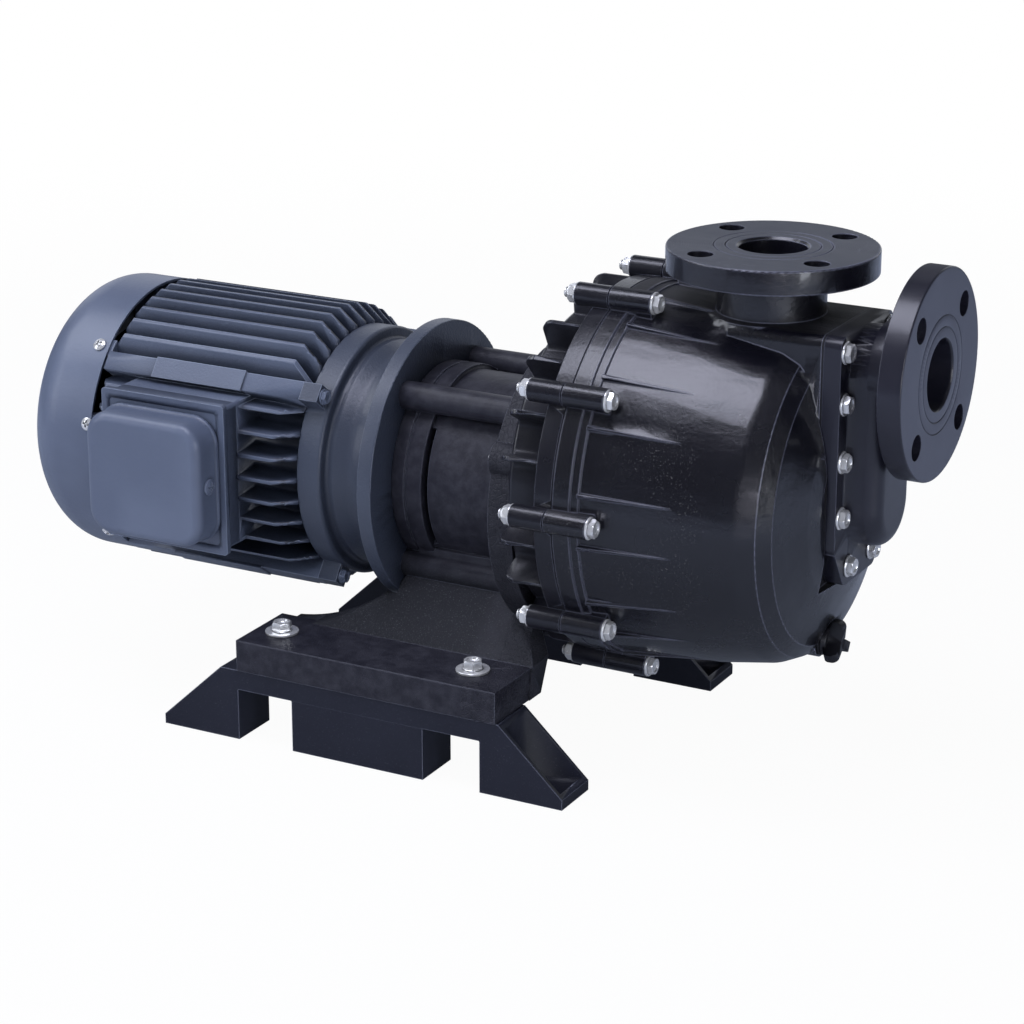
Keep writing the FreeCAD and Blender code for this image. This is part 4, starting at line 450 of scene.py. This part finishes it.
def zinc():
    """Bright zinc plate with a faint warm bloom, dull stains, painted shade in the seams under the heads
    and painted highlights on the edges.
    """
    finish = Finish("zinc_plate")
    edge_highlight, rounded = finish.edges(0.0003)
    bloom = finish.clouds(0.006, 3.0)
    stain = finish.clouds(0.0016, 3.0, 0.7).above(0.6, 0.75)
    tone = finish.mix(bloom, rgb(0.84, 0.84, 0.83), rgb(0.96, 0.96, 0.96))
    tone = finish.mix(stain * 0.4, tone, rgb(0.46, 0.44, 0.40))
    # Painted shade in the seams under the heads and nuts
    tone = finish.mix(finish.cavity(0.004).above(0.25, 0.6) * 0.85, tone, rgb(0.06, 0.06, 0.06))
    # Painted highlight along the edges
    tone = finish.mix(edge_highlight * 0.3, tone, rgb(0.97, 0.97, 0.97))
    return finish.paint(tone, 0.20 + 0.14 * stain, 0.60 + 0.05 * bloom, rounded)


def bare_metal(name, low, high, roughness):
    """Turned or stamped metal inside the machine, with fine marks."""
    finish = Finish(name)
    marks = finish.clouds(0.001, 3.0, 0.6, stretch=(3.0, 1.0, 1.0))
    return finish.paint(finish.mix(marks, low, high), roughness + 0.1 * marks, 1.0,
                        finish.bump(marks, 0.00003))


def ceramic():
    """Fine white ceramic of the spindle and its bush."""
    finish = Finish("ceramic", Coat_Weight=0.3)
    grain = finish.clouds(0.002, 3.0)
    tone = finish.mix(grain, rgb(0.74, 0.72, 0.66), rgb(0.82, 0.80, 0.75))
    return finish.paint(tone, 0.28 + 0.1 * grain, normal=finish.bump(grain, 0.00002))


# Meshes

def read_mesh(mesh):
    """Corner points and edges of a mesh as arrays."""
    points = np.empty(len(mesh.vertices) * 3)
    mesh.vertices.foreach_get("co", points)
    edges = np.empty(len(mesh.edges) * 2, dtype=np.int64)
    mesh.edges.foreach_get("vertices", edges)
    return points.reshape(-1, 3), edges.reshape(-1, 2)


def merged_copy(node):
    """Copy of a node's mesh with its loose triangles joined at their corners."""
    mesh = frame["nodes"][node].data.copy()
    work = bmesh.new()
    work.from_mesh(mesh)
    bmesh.ops.remove_doubles(work, verts=work.verts, dist=merge_distance)
    bmesh.ops.dissolve_degenerate(work, edges=work.edges, dist=merge_distance)
    work.to_mesh(mesh)
    work.free()
    return mesh


def show(name, mesh, material, body, crease=crease_angle):
    """Puts a mesh in the scene as a piece of the object that rides on a body."""
    mesh.materials.clear()
    mesh.materials.append(material)
    mesh.polygons.foreach_set("use_smooth", [True] * len(mesh.polygons))
    mesh.set_sharp_from_angle(angle=math.radians(crease))
    piece = bpy.data.objects.new(name, mesh)
    bpy.context.scene.collection.objects.link(piece)
    even = piece.modifiers.new("even_normals", "WEIGHTED_NORMAL")
    even.keep_sharp = True
    even.weight = 50
    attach(piece, body)
    return piece


def dress(node, material):
    """Shows a node as a smooth copy of itself in its finish."""
    body = frame["nodes"][node]["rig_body"]
    piece = show(node + "_finish", merged_copy(node), material, body,
                 node_crease.get(node, crease_angle))
    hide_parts(node)


def separate_solids(node):
    """Corner points of each separate solid of a node.

    Every point starts with its own number, and the lowest number spreads along the edges until
    nothing changes; points with the same number then belong to one solid.
    """
    points, edges = read_mesh(merged_copy(node))
    label = np.arange(len(points))
    while True:
        low = np.minimum(label[edges[:, 0]], label[edges[:, 1]])
        fresh = label.copy()
        np.minimum.at(fresh, edges[:, 0], low)
        np.minimum.at(fresh, edges[:, 1], low)
        fresh = fresh[fresh]
        if np.array_equal(fresh, label):
            break
        label = fresh
    return [points[label == k] for k in np.unique(label)]


class Surface:
    """Points and quads gathered from several surfaces, to become one mesh."""

    def __init__(self):
        self.points = []
        self.quads = []
        self.count = 0

    def add(self, grid):
        """Adds a grid of points, rows x columns x 3, whose columns run round and close."""
        rows, columns = grid.shape[:2]
        row = np.arange(rows - 1)[:, None] * columns
        column = np.arange(columns)[None, :]
        beside = (column + 1) % columns
        quads = np.stack([row + column, row + beside, row + columns + beside, row + columns + column], -1)
        self.points.append(grid.reshape(-1, 3))
        self.quads.append(quads.reshape(-1, 4) + self.count)
        self.count += rows * columns

    def mesh(self, name):
        """One mesh of all that was added, with its seams closed."""
        mesh = bpy.data.meshes.new(name)
        mesh.from_pydata(np.concatenate(self.points).tolist(), [], np.concatenate(self.quads).tolist())
        work = bmesh.new()
        work.from_mesh(mesh)
        bmesh.ops.remove_doubles(work, verts=work.verts, dist=surface_merge_distance)
        work.to_mesh(mesh)
        work.free()
        mesh.validate()
        return mesh


def frame_of(axis):
    """Two unit vectors square to an axis and to each other, and the axis itself."""
    axis = np.array(axis, float)
    axis /= np.linalg.norm(axis)
    aside = np.array((0.0, 0.0, 1.0)) if abs(axis[2]) < 0.9 else np.array((1.0, 0.0, 0.0))
    first = np.cross(aside, axis)
    first /= np.linalg.norm(first)
    return first, np.cross(axis, first), axis


def round_form(profile, origin, axis, turn=0.0, columns=columns_round):
    """Grid of a turned or six-sided form about an axis.

    Each profile row is (way, radius) or (way, radius, apothem). A row with an apothem follows the
    hexagon apothem / cos(angle from the middle of the flat), cut off at the radius, so a radius
    just under the corner makes a chamfered corner.
    """
    angle = np.arange(columns) * 2 * math.pi / columns
    sixth = math.pi / 3
    lean = np.cos(np.mod(angle, sixth) - sixth / 2)
    first, second, along = frame_of(axis)
    across = np.cos(angle + turn)[:, None] * first + np.sin(angle + turn)[:, None] * second
    rows = []
    for row in profile:
        radius = np.full(columns, row[1])
        if len(row) > 2:
            radius = np.minimum(radius, row[2] / lean)
        rows.append(np.array(origin) + along * row[0] + across * radius[:, None])
    return np.stack(rows)


def thread_form(length, radius, pitch, origin, axis, columns=32):
    """Grid of a screw thread: radius minus a cosine groove that climbs one pitch in each turn.

    Over the last pitch the radius falls in a quarter circle, so that the tip ends in a low dome.
    """
    depth = 0.12 * radius
    angle = np.arange(columns) * 2 * math.pi / columns
    way = np.linspace(0.0, length, round(8 * length / pitch) + 1)
    first, second, along = frame_of(axis)
    across = np.cos(angle)[:, None] * first + np.sin(angle)[:, None] * second
    groove = 0.5 - 0.5 * np.cos(2 * math.pi * way[:, None] / pitch - angle[None, :])
    left = np.clip((length - way) / pitch, 0.0, 1.0)[:, None]
    wall = (radius - depth * groove * left) * (0.6 + 0.4 * np.sqrt(1 - (1 - left) ** 2))
    body = np.array(origin) + along * way[:, None, None] + across[None] * wall[:, :, None]
    foot = np.array(origin) + across * 0.0
    tip = np.array(origin) + along * length + across * 0.0
    return np.concatenate([foot[None], body, tip[None]])


def hexagon_side(height, apothem, flange_radius, flange_height):
    """Rows from the rim of the flange up the six-sided wall to its chamfered top edge."""
    corner = apothem / math.cos(math.pi / 6)
    return [(0.0, flange_radius - rim_softness), (rim_softness, flange_radius),
            (flange_height * 0.6, flange_radius), (flange_height, flange_radius * 0.94),
            (flange_height, corner, apothem), (height - 0.14 * corner, corner, apothem),
            (height, apothem * 0.97)]


def hexagon_head(height, apothem, flange_radius, flange_height, dish):
    """Profile of a hexagon flange head with a chamfered and dished top."""
    top = [(height, apothem * 0.74), (height - dish, apothem * 0.62), (height - dish, 0.0)]
    return [(0.0, 0.0)] + hexagon_side(height, apothem, flange_radius, flange_height) + top


def washer(thickness, inner, outer):
    """Profile of a flat washer with softened rims."""
    return [(0.0, inner), (0.0, outer - rim_softness), (rim_softness, outer),
            (thickness - rim_softness, outer), (thickness, outer - rim_softness), (thickness, inner),
            (0.0, inner)]


def hexagon_nut(height, apothem, flange_radius, flange_height, hole):
    """Profile of a flange nut: flange, chamfered hexagon and the lead of the thread."""
    top = [(height, hole * 1.15), (height - 2 * rim_softness, hole), (0.0, hole)]
    return [(0.0, hole)] + hexagon_side(height, apothem, flange_radius, flange_height) + top


def cross_head(height, radius, slot_reach, slot_half, slot_depth, origin, axis, turn):
    """Grid of a round screw head with a cross recess.

    Its height falls as the square of the distance from the middle, with a short straight side at the
    rim. The recess is a smooth step down where the nearer of the two arms is closer than half the
    slot's width and the middle is nearer than the slot's reach.
    """
    way = np.concatenate([[0.0], np.linspace(0.02, 1.0, 22), [1.0]])
    angle = np.arange(columns_cross) * 2 * math.pi / columns_cross
    out = way[:, None] * radius
    across = out * np.cos(angle)
    up = out * np.sin(angle)
    side = 0.4 * height
    level = side + (height - side) * (1 - way[:, None] ** 2) + 0 * across
    arm = np.minimum(np.abs(across), np.abs(up))
    recess = np.clip((slot_half - arm) / (0.4 * slot_half), 0, 1)
    recess = recess * np.clip((slot_reach - out) / recess_end, 0, 1)
    level = level - slot_depth * recess
    level[-1] = 0.0
    first, second, along = frame_of(axis)
    turned = np.cos(turn) * first + np.sin(turn) * second
    aside = np.cross(along, turned)
    flat = turned * across[..., None] + aside * up[..., None]
    grid = np.array(origin) + along * level[..., None] + flat
    foot = np.array(origin) + 0.0 * grid[-1:]
    return np.concatenate([foot, grid[::-1]])


def middle_of(solid):
    """Middle of the box round a solid's points."""
    return (solid.min(0) + solid.max(0)) / 2


def rod_profile(length, radius):
    """Profile of a plain round rod with a softened end."""
    return [(0.0, 0.0), (0.0, radius - rod_softness), (rod_softness, radius), (length, radius),
            (length, 0.0)]


# Fasteners

def present(node, surface, finish):
    """Shows a gathered surface in place of a fastener node."""
    piece = show(node + "_finish", surface.mesh(node + "_finish"), finishes[finish],
                 frame["nodes"][node]["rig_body"])
    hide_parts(node)


def flange_head(bolt):
    """Profile of the head of a bolt, its flange and dish in proportion to the size."""
    size, head_height, apothem = bolt
    return hexagon_head(head_height, apothem, size * 1.05, size * 0.22, size * 0.14)


def bolts_along_x(node, bolt, way, finish="zinc"):
    """Hexagon flange bolts whose heads point along X, one for each solid of the node."""
    size, head_height = bolt[:2]
    surface = Surface()
    axis = (way, 0.0, 0.0)
    for number, solid in enumerate(separate_solids(node)):
        centre = middle_of(solid)
        ends = (solid[:, 0].min(), solid[:, 0].max())
        inner, outer = ends if way > 0 else ends[::-1]
        seat = outer - way * head_height
        surface.add(round_form(flange_head(bolt), (seat, centre[1], centre[2]), axis,
                               bolt_turn * number))
        surface.add(round_form(rod_profile(abs(seat - inner), size / 2),
                               (inner, centre[1], centre[2]), axis))
    present(node, surface, finish)


def clamp_bolts():
    """Long flange bolts of the clamp ring, with the thread showing behind the nuts."""
    surface = Surface()
    size, head_height = bolt_m8[:2]
    shank = size / 2
    forward, backward = (1.0, 0.0, 0.0), (-1.0, 0.0, 0.0)
    for number, solid in enumerate(separate_solids("clamp_bolts")):
        centre = middle_of(solid)
        tip, top = solid[:, 0].min(), solid[:, 0].max()
        seat = top - head_height
        surface.add(round_form(flange_head(bolt_m8), (seat, centre[1], centre[2]), forward,
                               bolt_turn * number))
        plain = seat - tip - thread_length
        end = (tip + thread_length, centre[1], centre[2])
        surface.add(round_form([(0.0, 0.0), (0.0, shank), (plain, shank), (plain, 0.0)], end, forward))
        surface.add(thread_form(thread_length, shank, thread_pitch, end, backward))
    present("clamp_bolts", surface, "zinc")


def clamp_nuts():
    """Flange nuts on the tips of the clamp bolts."""
    surface = Surface()
    for number, solid in enumerate(separate_solids("clamp_nuts")):
        centre = middle_of(solid)
        height = np.ptp(solid[:, 0])
        profile = hexagon_nut(height, nut_apothem, nut_flange_radius, nut_flange_height, bolt_m8[0] / 2)
        surface.add(round_form(profile, (solid[:, 0].max(), centre[1], centre[2]), (-1.0, 0.0, 0.0),
                               nut_turn * number))
    present("clamp_nuts", surface, "zinc")


def base_bolts():
    """Dished hexagon bolts on wide washers that hold the bracket to the rails."""
    bolts = Surface()
    upright = (0.0, 0.0, 1.0)
    head = hexagon_head(base_head_height, base_apothem, base_flange_radius, base_flange_height, base_dish)
    for number, solid in enumerate(separate_solids("base_bolts")):
        centre = middle_of(solid)
        seat = (centre[0], centre[1], solid[:, 2].max() - base_head_height)
        bolts.add(round_form(head, seat, upright, 0.35 + base_turn * number))
        bolts.add(round_form(rod_profile(seat[2] - solid[:, 2].min(), base_shank_radius),
                             (centre[0], centre[1], solid[:, 2].min()), upright))
    present("base_bolts", bolts, "zinc")
    rings = Surface()
    for solid in separate_solids("base_washers"):
        centre = middle_of(solid)
        rings.add(round_form(washer(np.ptp(solid[:, 2]), base_shank_radius, np.ptp(solid[:, 0]) / 2),
                             (centre[0], centre[1], solid[:, 2].min()), upright))
    present("base_washers", rings, "zinc")


def rounded_outline(half_width, half_height, corner, columns=96):
    """Points of a rounded rectangle: each column lies on the quarter circle of its own corner."""
    angle = (np.arange(columns) + 0.5) * 2 * math.pi / columns
    across = np.sign(np.cos(angle)) * (half_width - corner) + corner * np.cos(angle)
    up = np.sign(np.sin(angle)) * (half_height - corner) + corner * np.sin(angle)
    return across, up


def box_rim():
    """Flat rim of the terminal box, from the wall of the box in to the seat of the lid."""
    rows = []
    for outline, level in ((box_mouth, box_rim_front), (lid_seat, box_rim_front), (lid_seat, box_rim_back),
                           (box_mouth, box_rim_back), (box_mouth, box_rim_front)):
        centre, (across, up) = outline[0], rounded_outline(*outline[1:])
        rows.append(np.stack([centre[0] + across, 0 * across + level, centre[1] + up], -1))
    surface = Surface()
    surface.add(np.stack(rows))
    piece = show("box_rim", surface.mesh("box_rim"), finishes["motor_cast"], "pump")


def cross_screws(node, head, outwards, finish):
    """Round-headed screws with a cross recess, each along its own outward direction."""
    head_radius, head_height = head
    surface = Surface()
    for number, solid in enumerate(separate_solids(node)):
        middle = solid.mean(0)
        axis = np.array(outwards(middle), float)
        axis /= np.linalg.norm(axis)
        reach = solid @ axis
        centre = middle + axis * (reach.min() - middle @ axis)
        length = np.ptp(reach) - head_height
        seat = centre + axis * length
        surface.add(round_form(rod_profile(length, screw_radius), centre, axis))
        surface.add(cross_head(head_height, head_radius, head_radius * 0.6, head_radius * 0.17,
                               head_height * 0.45, seat, axis, 0.5 + screw_turn * number))
    present(node, surface, finish)


# Light and floor

def camera():
    """Camera at the place, turn and lens of the photograph."""
    data = bpy.data.cameras.new("photo_camera")
    data.lens = camera_lens
    data.sensor_width = sensor_width
    data.clip_start = 0.05
    data.clip_end = 50.0
    thing = bpy.data.objects.new("photo_camera", data)
    thing.location = camera_place
    thing.rotation_euler = (math.radians(90 - camera_dip), 0.0, math.radians(camera_turn))
    bpy.context.scene.collection.objects.link(thing)
    bpy.context.scene.camera = thing


def softbox(name, place, target, size, watts, tint, mirrored=True):
    """Area lamp at a place, turned to face a target; one that isn't mirrored shows in no gloss."""
    data = bpy.data.lights.new(name, "AREA")
    data.shape = "RECTANGLE"
    data.size = size[0]
    data.size_y = size[1]
    data.energy = watts
    data.color = tint
    lamp = bpy.data.objects.new(name, data)
    lamp.location = place
    lamp.rotation_euler = (Vector(target) - Vector(place)).to_track_quat("-Z", "Y").to_euler()
    lamp.visible_camera = False
    lamp.visible_glossy = mirrored
    bpy.context.scene.collection.objects.link(lamp)


def lights():
    """Softboxes overhead and left, a broad front key, two strips at the right, a pale sheet behind."""
    middle = (0.05, 0.0, 0.2)
    tank, motor, nose = (0.2, 0.0, 0.25), (-0.25, 0.0, 0.2), (0.3, -0.1, 0.24)
    cool, lilac, pale_lilac = (0.86, 0.90, 1.0), (0.80, 0.82, 1.0), (0.84, 0.84, 1.0)
    softbox("overhead_softbox", (-0.05, -0.42, 1.6), tank, size=(1.0, 0.75), watts=12.0, tint=lilac)
    softbox("upper_left_softbox", (-1.2, -0.35, 1.4), motor, size=(0.9, 0.9), watts=8.0, tint=cool)
    softbox("left_softbox", (-1.9, -1.5, 0.9), middle, size=(0.9, 1.1), watts=8.0, tint=cool)
    softbox("front_key", (-0.55, -1.9, 1.25), middle, size=(1.2, 1.0), watts=20.0, tint=cool,
            mirrored=False)
    softbox("right_strip", (1.7, -0.95, 0.55), middle, size=(0.3, 1.0), watts=7.0, tint=cool)
    softbox("nose_strip", (1.15, -1.45, 0.40), nose, size=(0.22, 0.40), watts=1.6, tint=pale_lilac)
    softbox("back_sheet", (-0.7, 2.1, 0.95), middle, size=(4.2, 1.5), watts=13.0, tint=cool)


def world():
    """White backdrop for the camera; a dim room for everything else."""
    sky = bpy.data.worlds.new("studio")
    bpy.context.scene.world = sky
    tree = Tree(sky)
    path = tree.add("ShaderNodeLightPath")
    room_strength = 0.09
    room = tree.add("ShaderNodeBackground", None,
                    {"Color": rgb(0.86, 0.91, 1.0), "Strength": room_strength})
    backdrop = tree.add("ShaderNodeBackground", None, {"Color": rgb(1.0, 1.0, 1.0), "Strength": 1.0})
    mixed = tree.add("ShaderNodeMixShader", None, {0: path.outputs["Is Camera Ray"], 1: room.outputs[0],
                                                   2: backdrop.outputs[0]})
    tree.add("ShaderNodeOutputWorld", None, {"Surface": mixed.outputs[0]})


def glow(finish, colour, strength):
    """Output of a plain emission."""
    return finish.add("ShaderNodeEmission", None, {"Color": colour, "Strength": strength}).outputs[0]


def blend(finish, share, first, second):
    """Output of a mix of two shaders, by a share from 0 to 1."""
    return finish.add("ShaderNodeMixShader", None, {0: share, 1: first, 2: second}).outputs[0]


def floor():
    """Pale floor that looks white to the camera and keeps the shadow of the object.

    In reflections it shows painted shadow close to the object, where the object shades it, then paler,
    and a painted pool of light brightest in a ring between one and two metres away, dim beyond.
    """
    half = 4.0
    mesh = bpy.data.meshes.new("floor")
    mesh.from_pydata([(-half, -half, 0.0), (half, -half, 0.0), (half, half, 0.0), (-half, half, 0.0)], [],
                     [(0, 1, 2, 3)])
    thing = bpy.data.objects.new("floor", mesh)
    bpy.context.scene.collection.objects.link(thing)
    finish = Finish("pale_floor", Roughness=0.9, Specular_IOR_Level=0.0, Base_Color=rgb(0.8, 0.82, 0.86))
    x, y, _ = finish.axes()
    out = (x * x + y * y).root()
    path = finish.add("ShaderNodeLightPath")
    mirrored = Quantity(finish, path.outputs["Is Glossy Ray"]) + path.outputs["Is Transmission Ray"]
    camera_share = white_share + (1.0 - white_share) * out.above(*all_white_start)
    white = glow(finish, rgb(1.0, 1.0, 1.0), 1.0)
    shaded = glow(finish, rgb(0.62, 0.72, 1.0), 0.14)
    pale = glow(finish, rgb(0.62, 0.72, 1.0), 0.36)
    bright = glow(finish, rgb(0.60, 0.70, 1.0), 0.62)
    dim = glow(finish, rgb(0.70, 0.82, 1.0), 0.05)
    near = blend(finish, out.above(*shaded_zone_end), shaded, pale)
    ring = blend(finish, out.above(*bright_ring_start), near, bright)
    zones = blend(finish, out.above(*bright_ring_end), ring, dim)
    seen = blend(finish, camera_share * path.outputs["Is Camera Ray"], finish.shader.outputs[0], white)
    finish.feed(finish.output.inputs["Surface"], blend(finish, mirrored * zone_share, seen, zones))
    mesh.materials.append(finish.material)


finishes = {
    # Gap shade share, then a strength: painted light on the lid and fan cover, painted shade on the end
    # shield
    "motor_smooth": motor_paint("motor_enamel_smooth", 0.0022, 0.00006, 0.2, 1.1),
    "motor_cast": motor_paint("motor_enamel_cast", 0.0019, 0.00035, 0.15),
    "motor_fins": motor_paint("motor_enamel_fins", 0.0019, 0.00035, 0.82),
    "motor_shield": motor_paint("motor_enamel_shield", 0.0019, 0.00035, 0.6, 0.5),
    "bracket": bracket_black(),
    "rail": rail_black(),
    "tank": tank_black(),
    "casing": casing_black(),
    "suction": suction_black(),
    "rubber": plain_black("black_rubber", 0.55),
    "plastic": plain_black("black_plastic", 0.3),
    "zinc": zinc(),
    "steel": bare_metal("turned_steel", rgb(0.42, 0.42, 0.44), rgb(0.6, 0.6, 0.61), 0.28),
    "lamination": bare_metal("core_steel", rgb(0.2, 0.2, 0.21), rgb(0.32, 0.32, 0.33), 0.45),
    "copper": bare_metal("winding_copper", rgb(0.55, 0.22, 0.1), rgb(0.72, 0.34, 0.18), 0.35),
    "magnet": bare_metal("magnet_nickel", rgb(0.22, 0.22, 0.23), rgb(0.34, 0.34, 0.34), 0.3),
    "ceramic": ceramic(),
}

node_finish = {
    "front_base_rail": "rail", "rear_base_rail": "rail", "motor_bracket": "bracket",
    "motor_end_shield": "motor_shield", "motor_frame": "motor_fins", "rear_end_shield": "motor_cast",
    "fan_cover": "motor_smooth", "terminal_box_base": "motor_cast", "terminal_gasket": "rubber",
    "terminal_lid": "motor_smooth", "rear_casing": "casing", "casing_gasket": "rubber",
    "tank_casing": "tank", "suction_gasket": "rubber", "suction_box": "suction",
    "drain_seal": "rubber", "drain_plug": "plastic", "check_flap": "plastic", "cable_entry_plug": "rubber",
    "cooling_fan": "plastic", "motor_shaft": "steel", "rotor_core": "lamination",
    "stator_core": "lamination", "stator_windings": "copper", "front_bearing": "steel",
    "rear_bearing": "steel", "bearing_inner_rings": "steel", "shaft_key": "steel",
    "drive_magnet_hub": "lamination", "drive_magnets": "magnet", "spindle": "ceramic",
    "impeller_bush": "ceramic", "impeller_magnet": "plastic", "impeller": "plastic", "volute": "casing",
    "suction_duct": "casing", "flap_pin": "ceramic", "terminal_board": "plastic",
    "motor_flange_bolts": "zinc",
}

# Softest fold, in degrees, that still counts as an edge; the nose of the tank has shallow ones
node_crease = {"tank_casing": 17.0}

for node, finish_name in node_finish.items():
    if node in frame["nodes"]:
        dress(node, finishes[finish_name])

clamp_bolts()
clamp_nuts()
base_bolts()
bolts_along_x("suction_bolts", bolt_m8, 1)
bolts_along_x("casing_screws", bolt_m6, -1)
bolts_along_x("end_shield_bolts", bolt_m6, 1, "motor_cast")
cross_screws("fan_cover_screws", cover_screw_head,
             lambda middle: (0.0, middle[1], middle[2] - shaft_height), "zinc")
cross_screws("lid_screws", lid_screw_head,
             lambda middle: (middle[0] - box_middle_x, 0.0, 0.0), "motor_smooth")
box_rim()

camera()
lights()
world()
floor()
bpy.context.scene.view_settings.view_transform = "Standard"
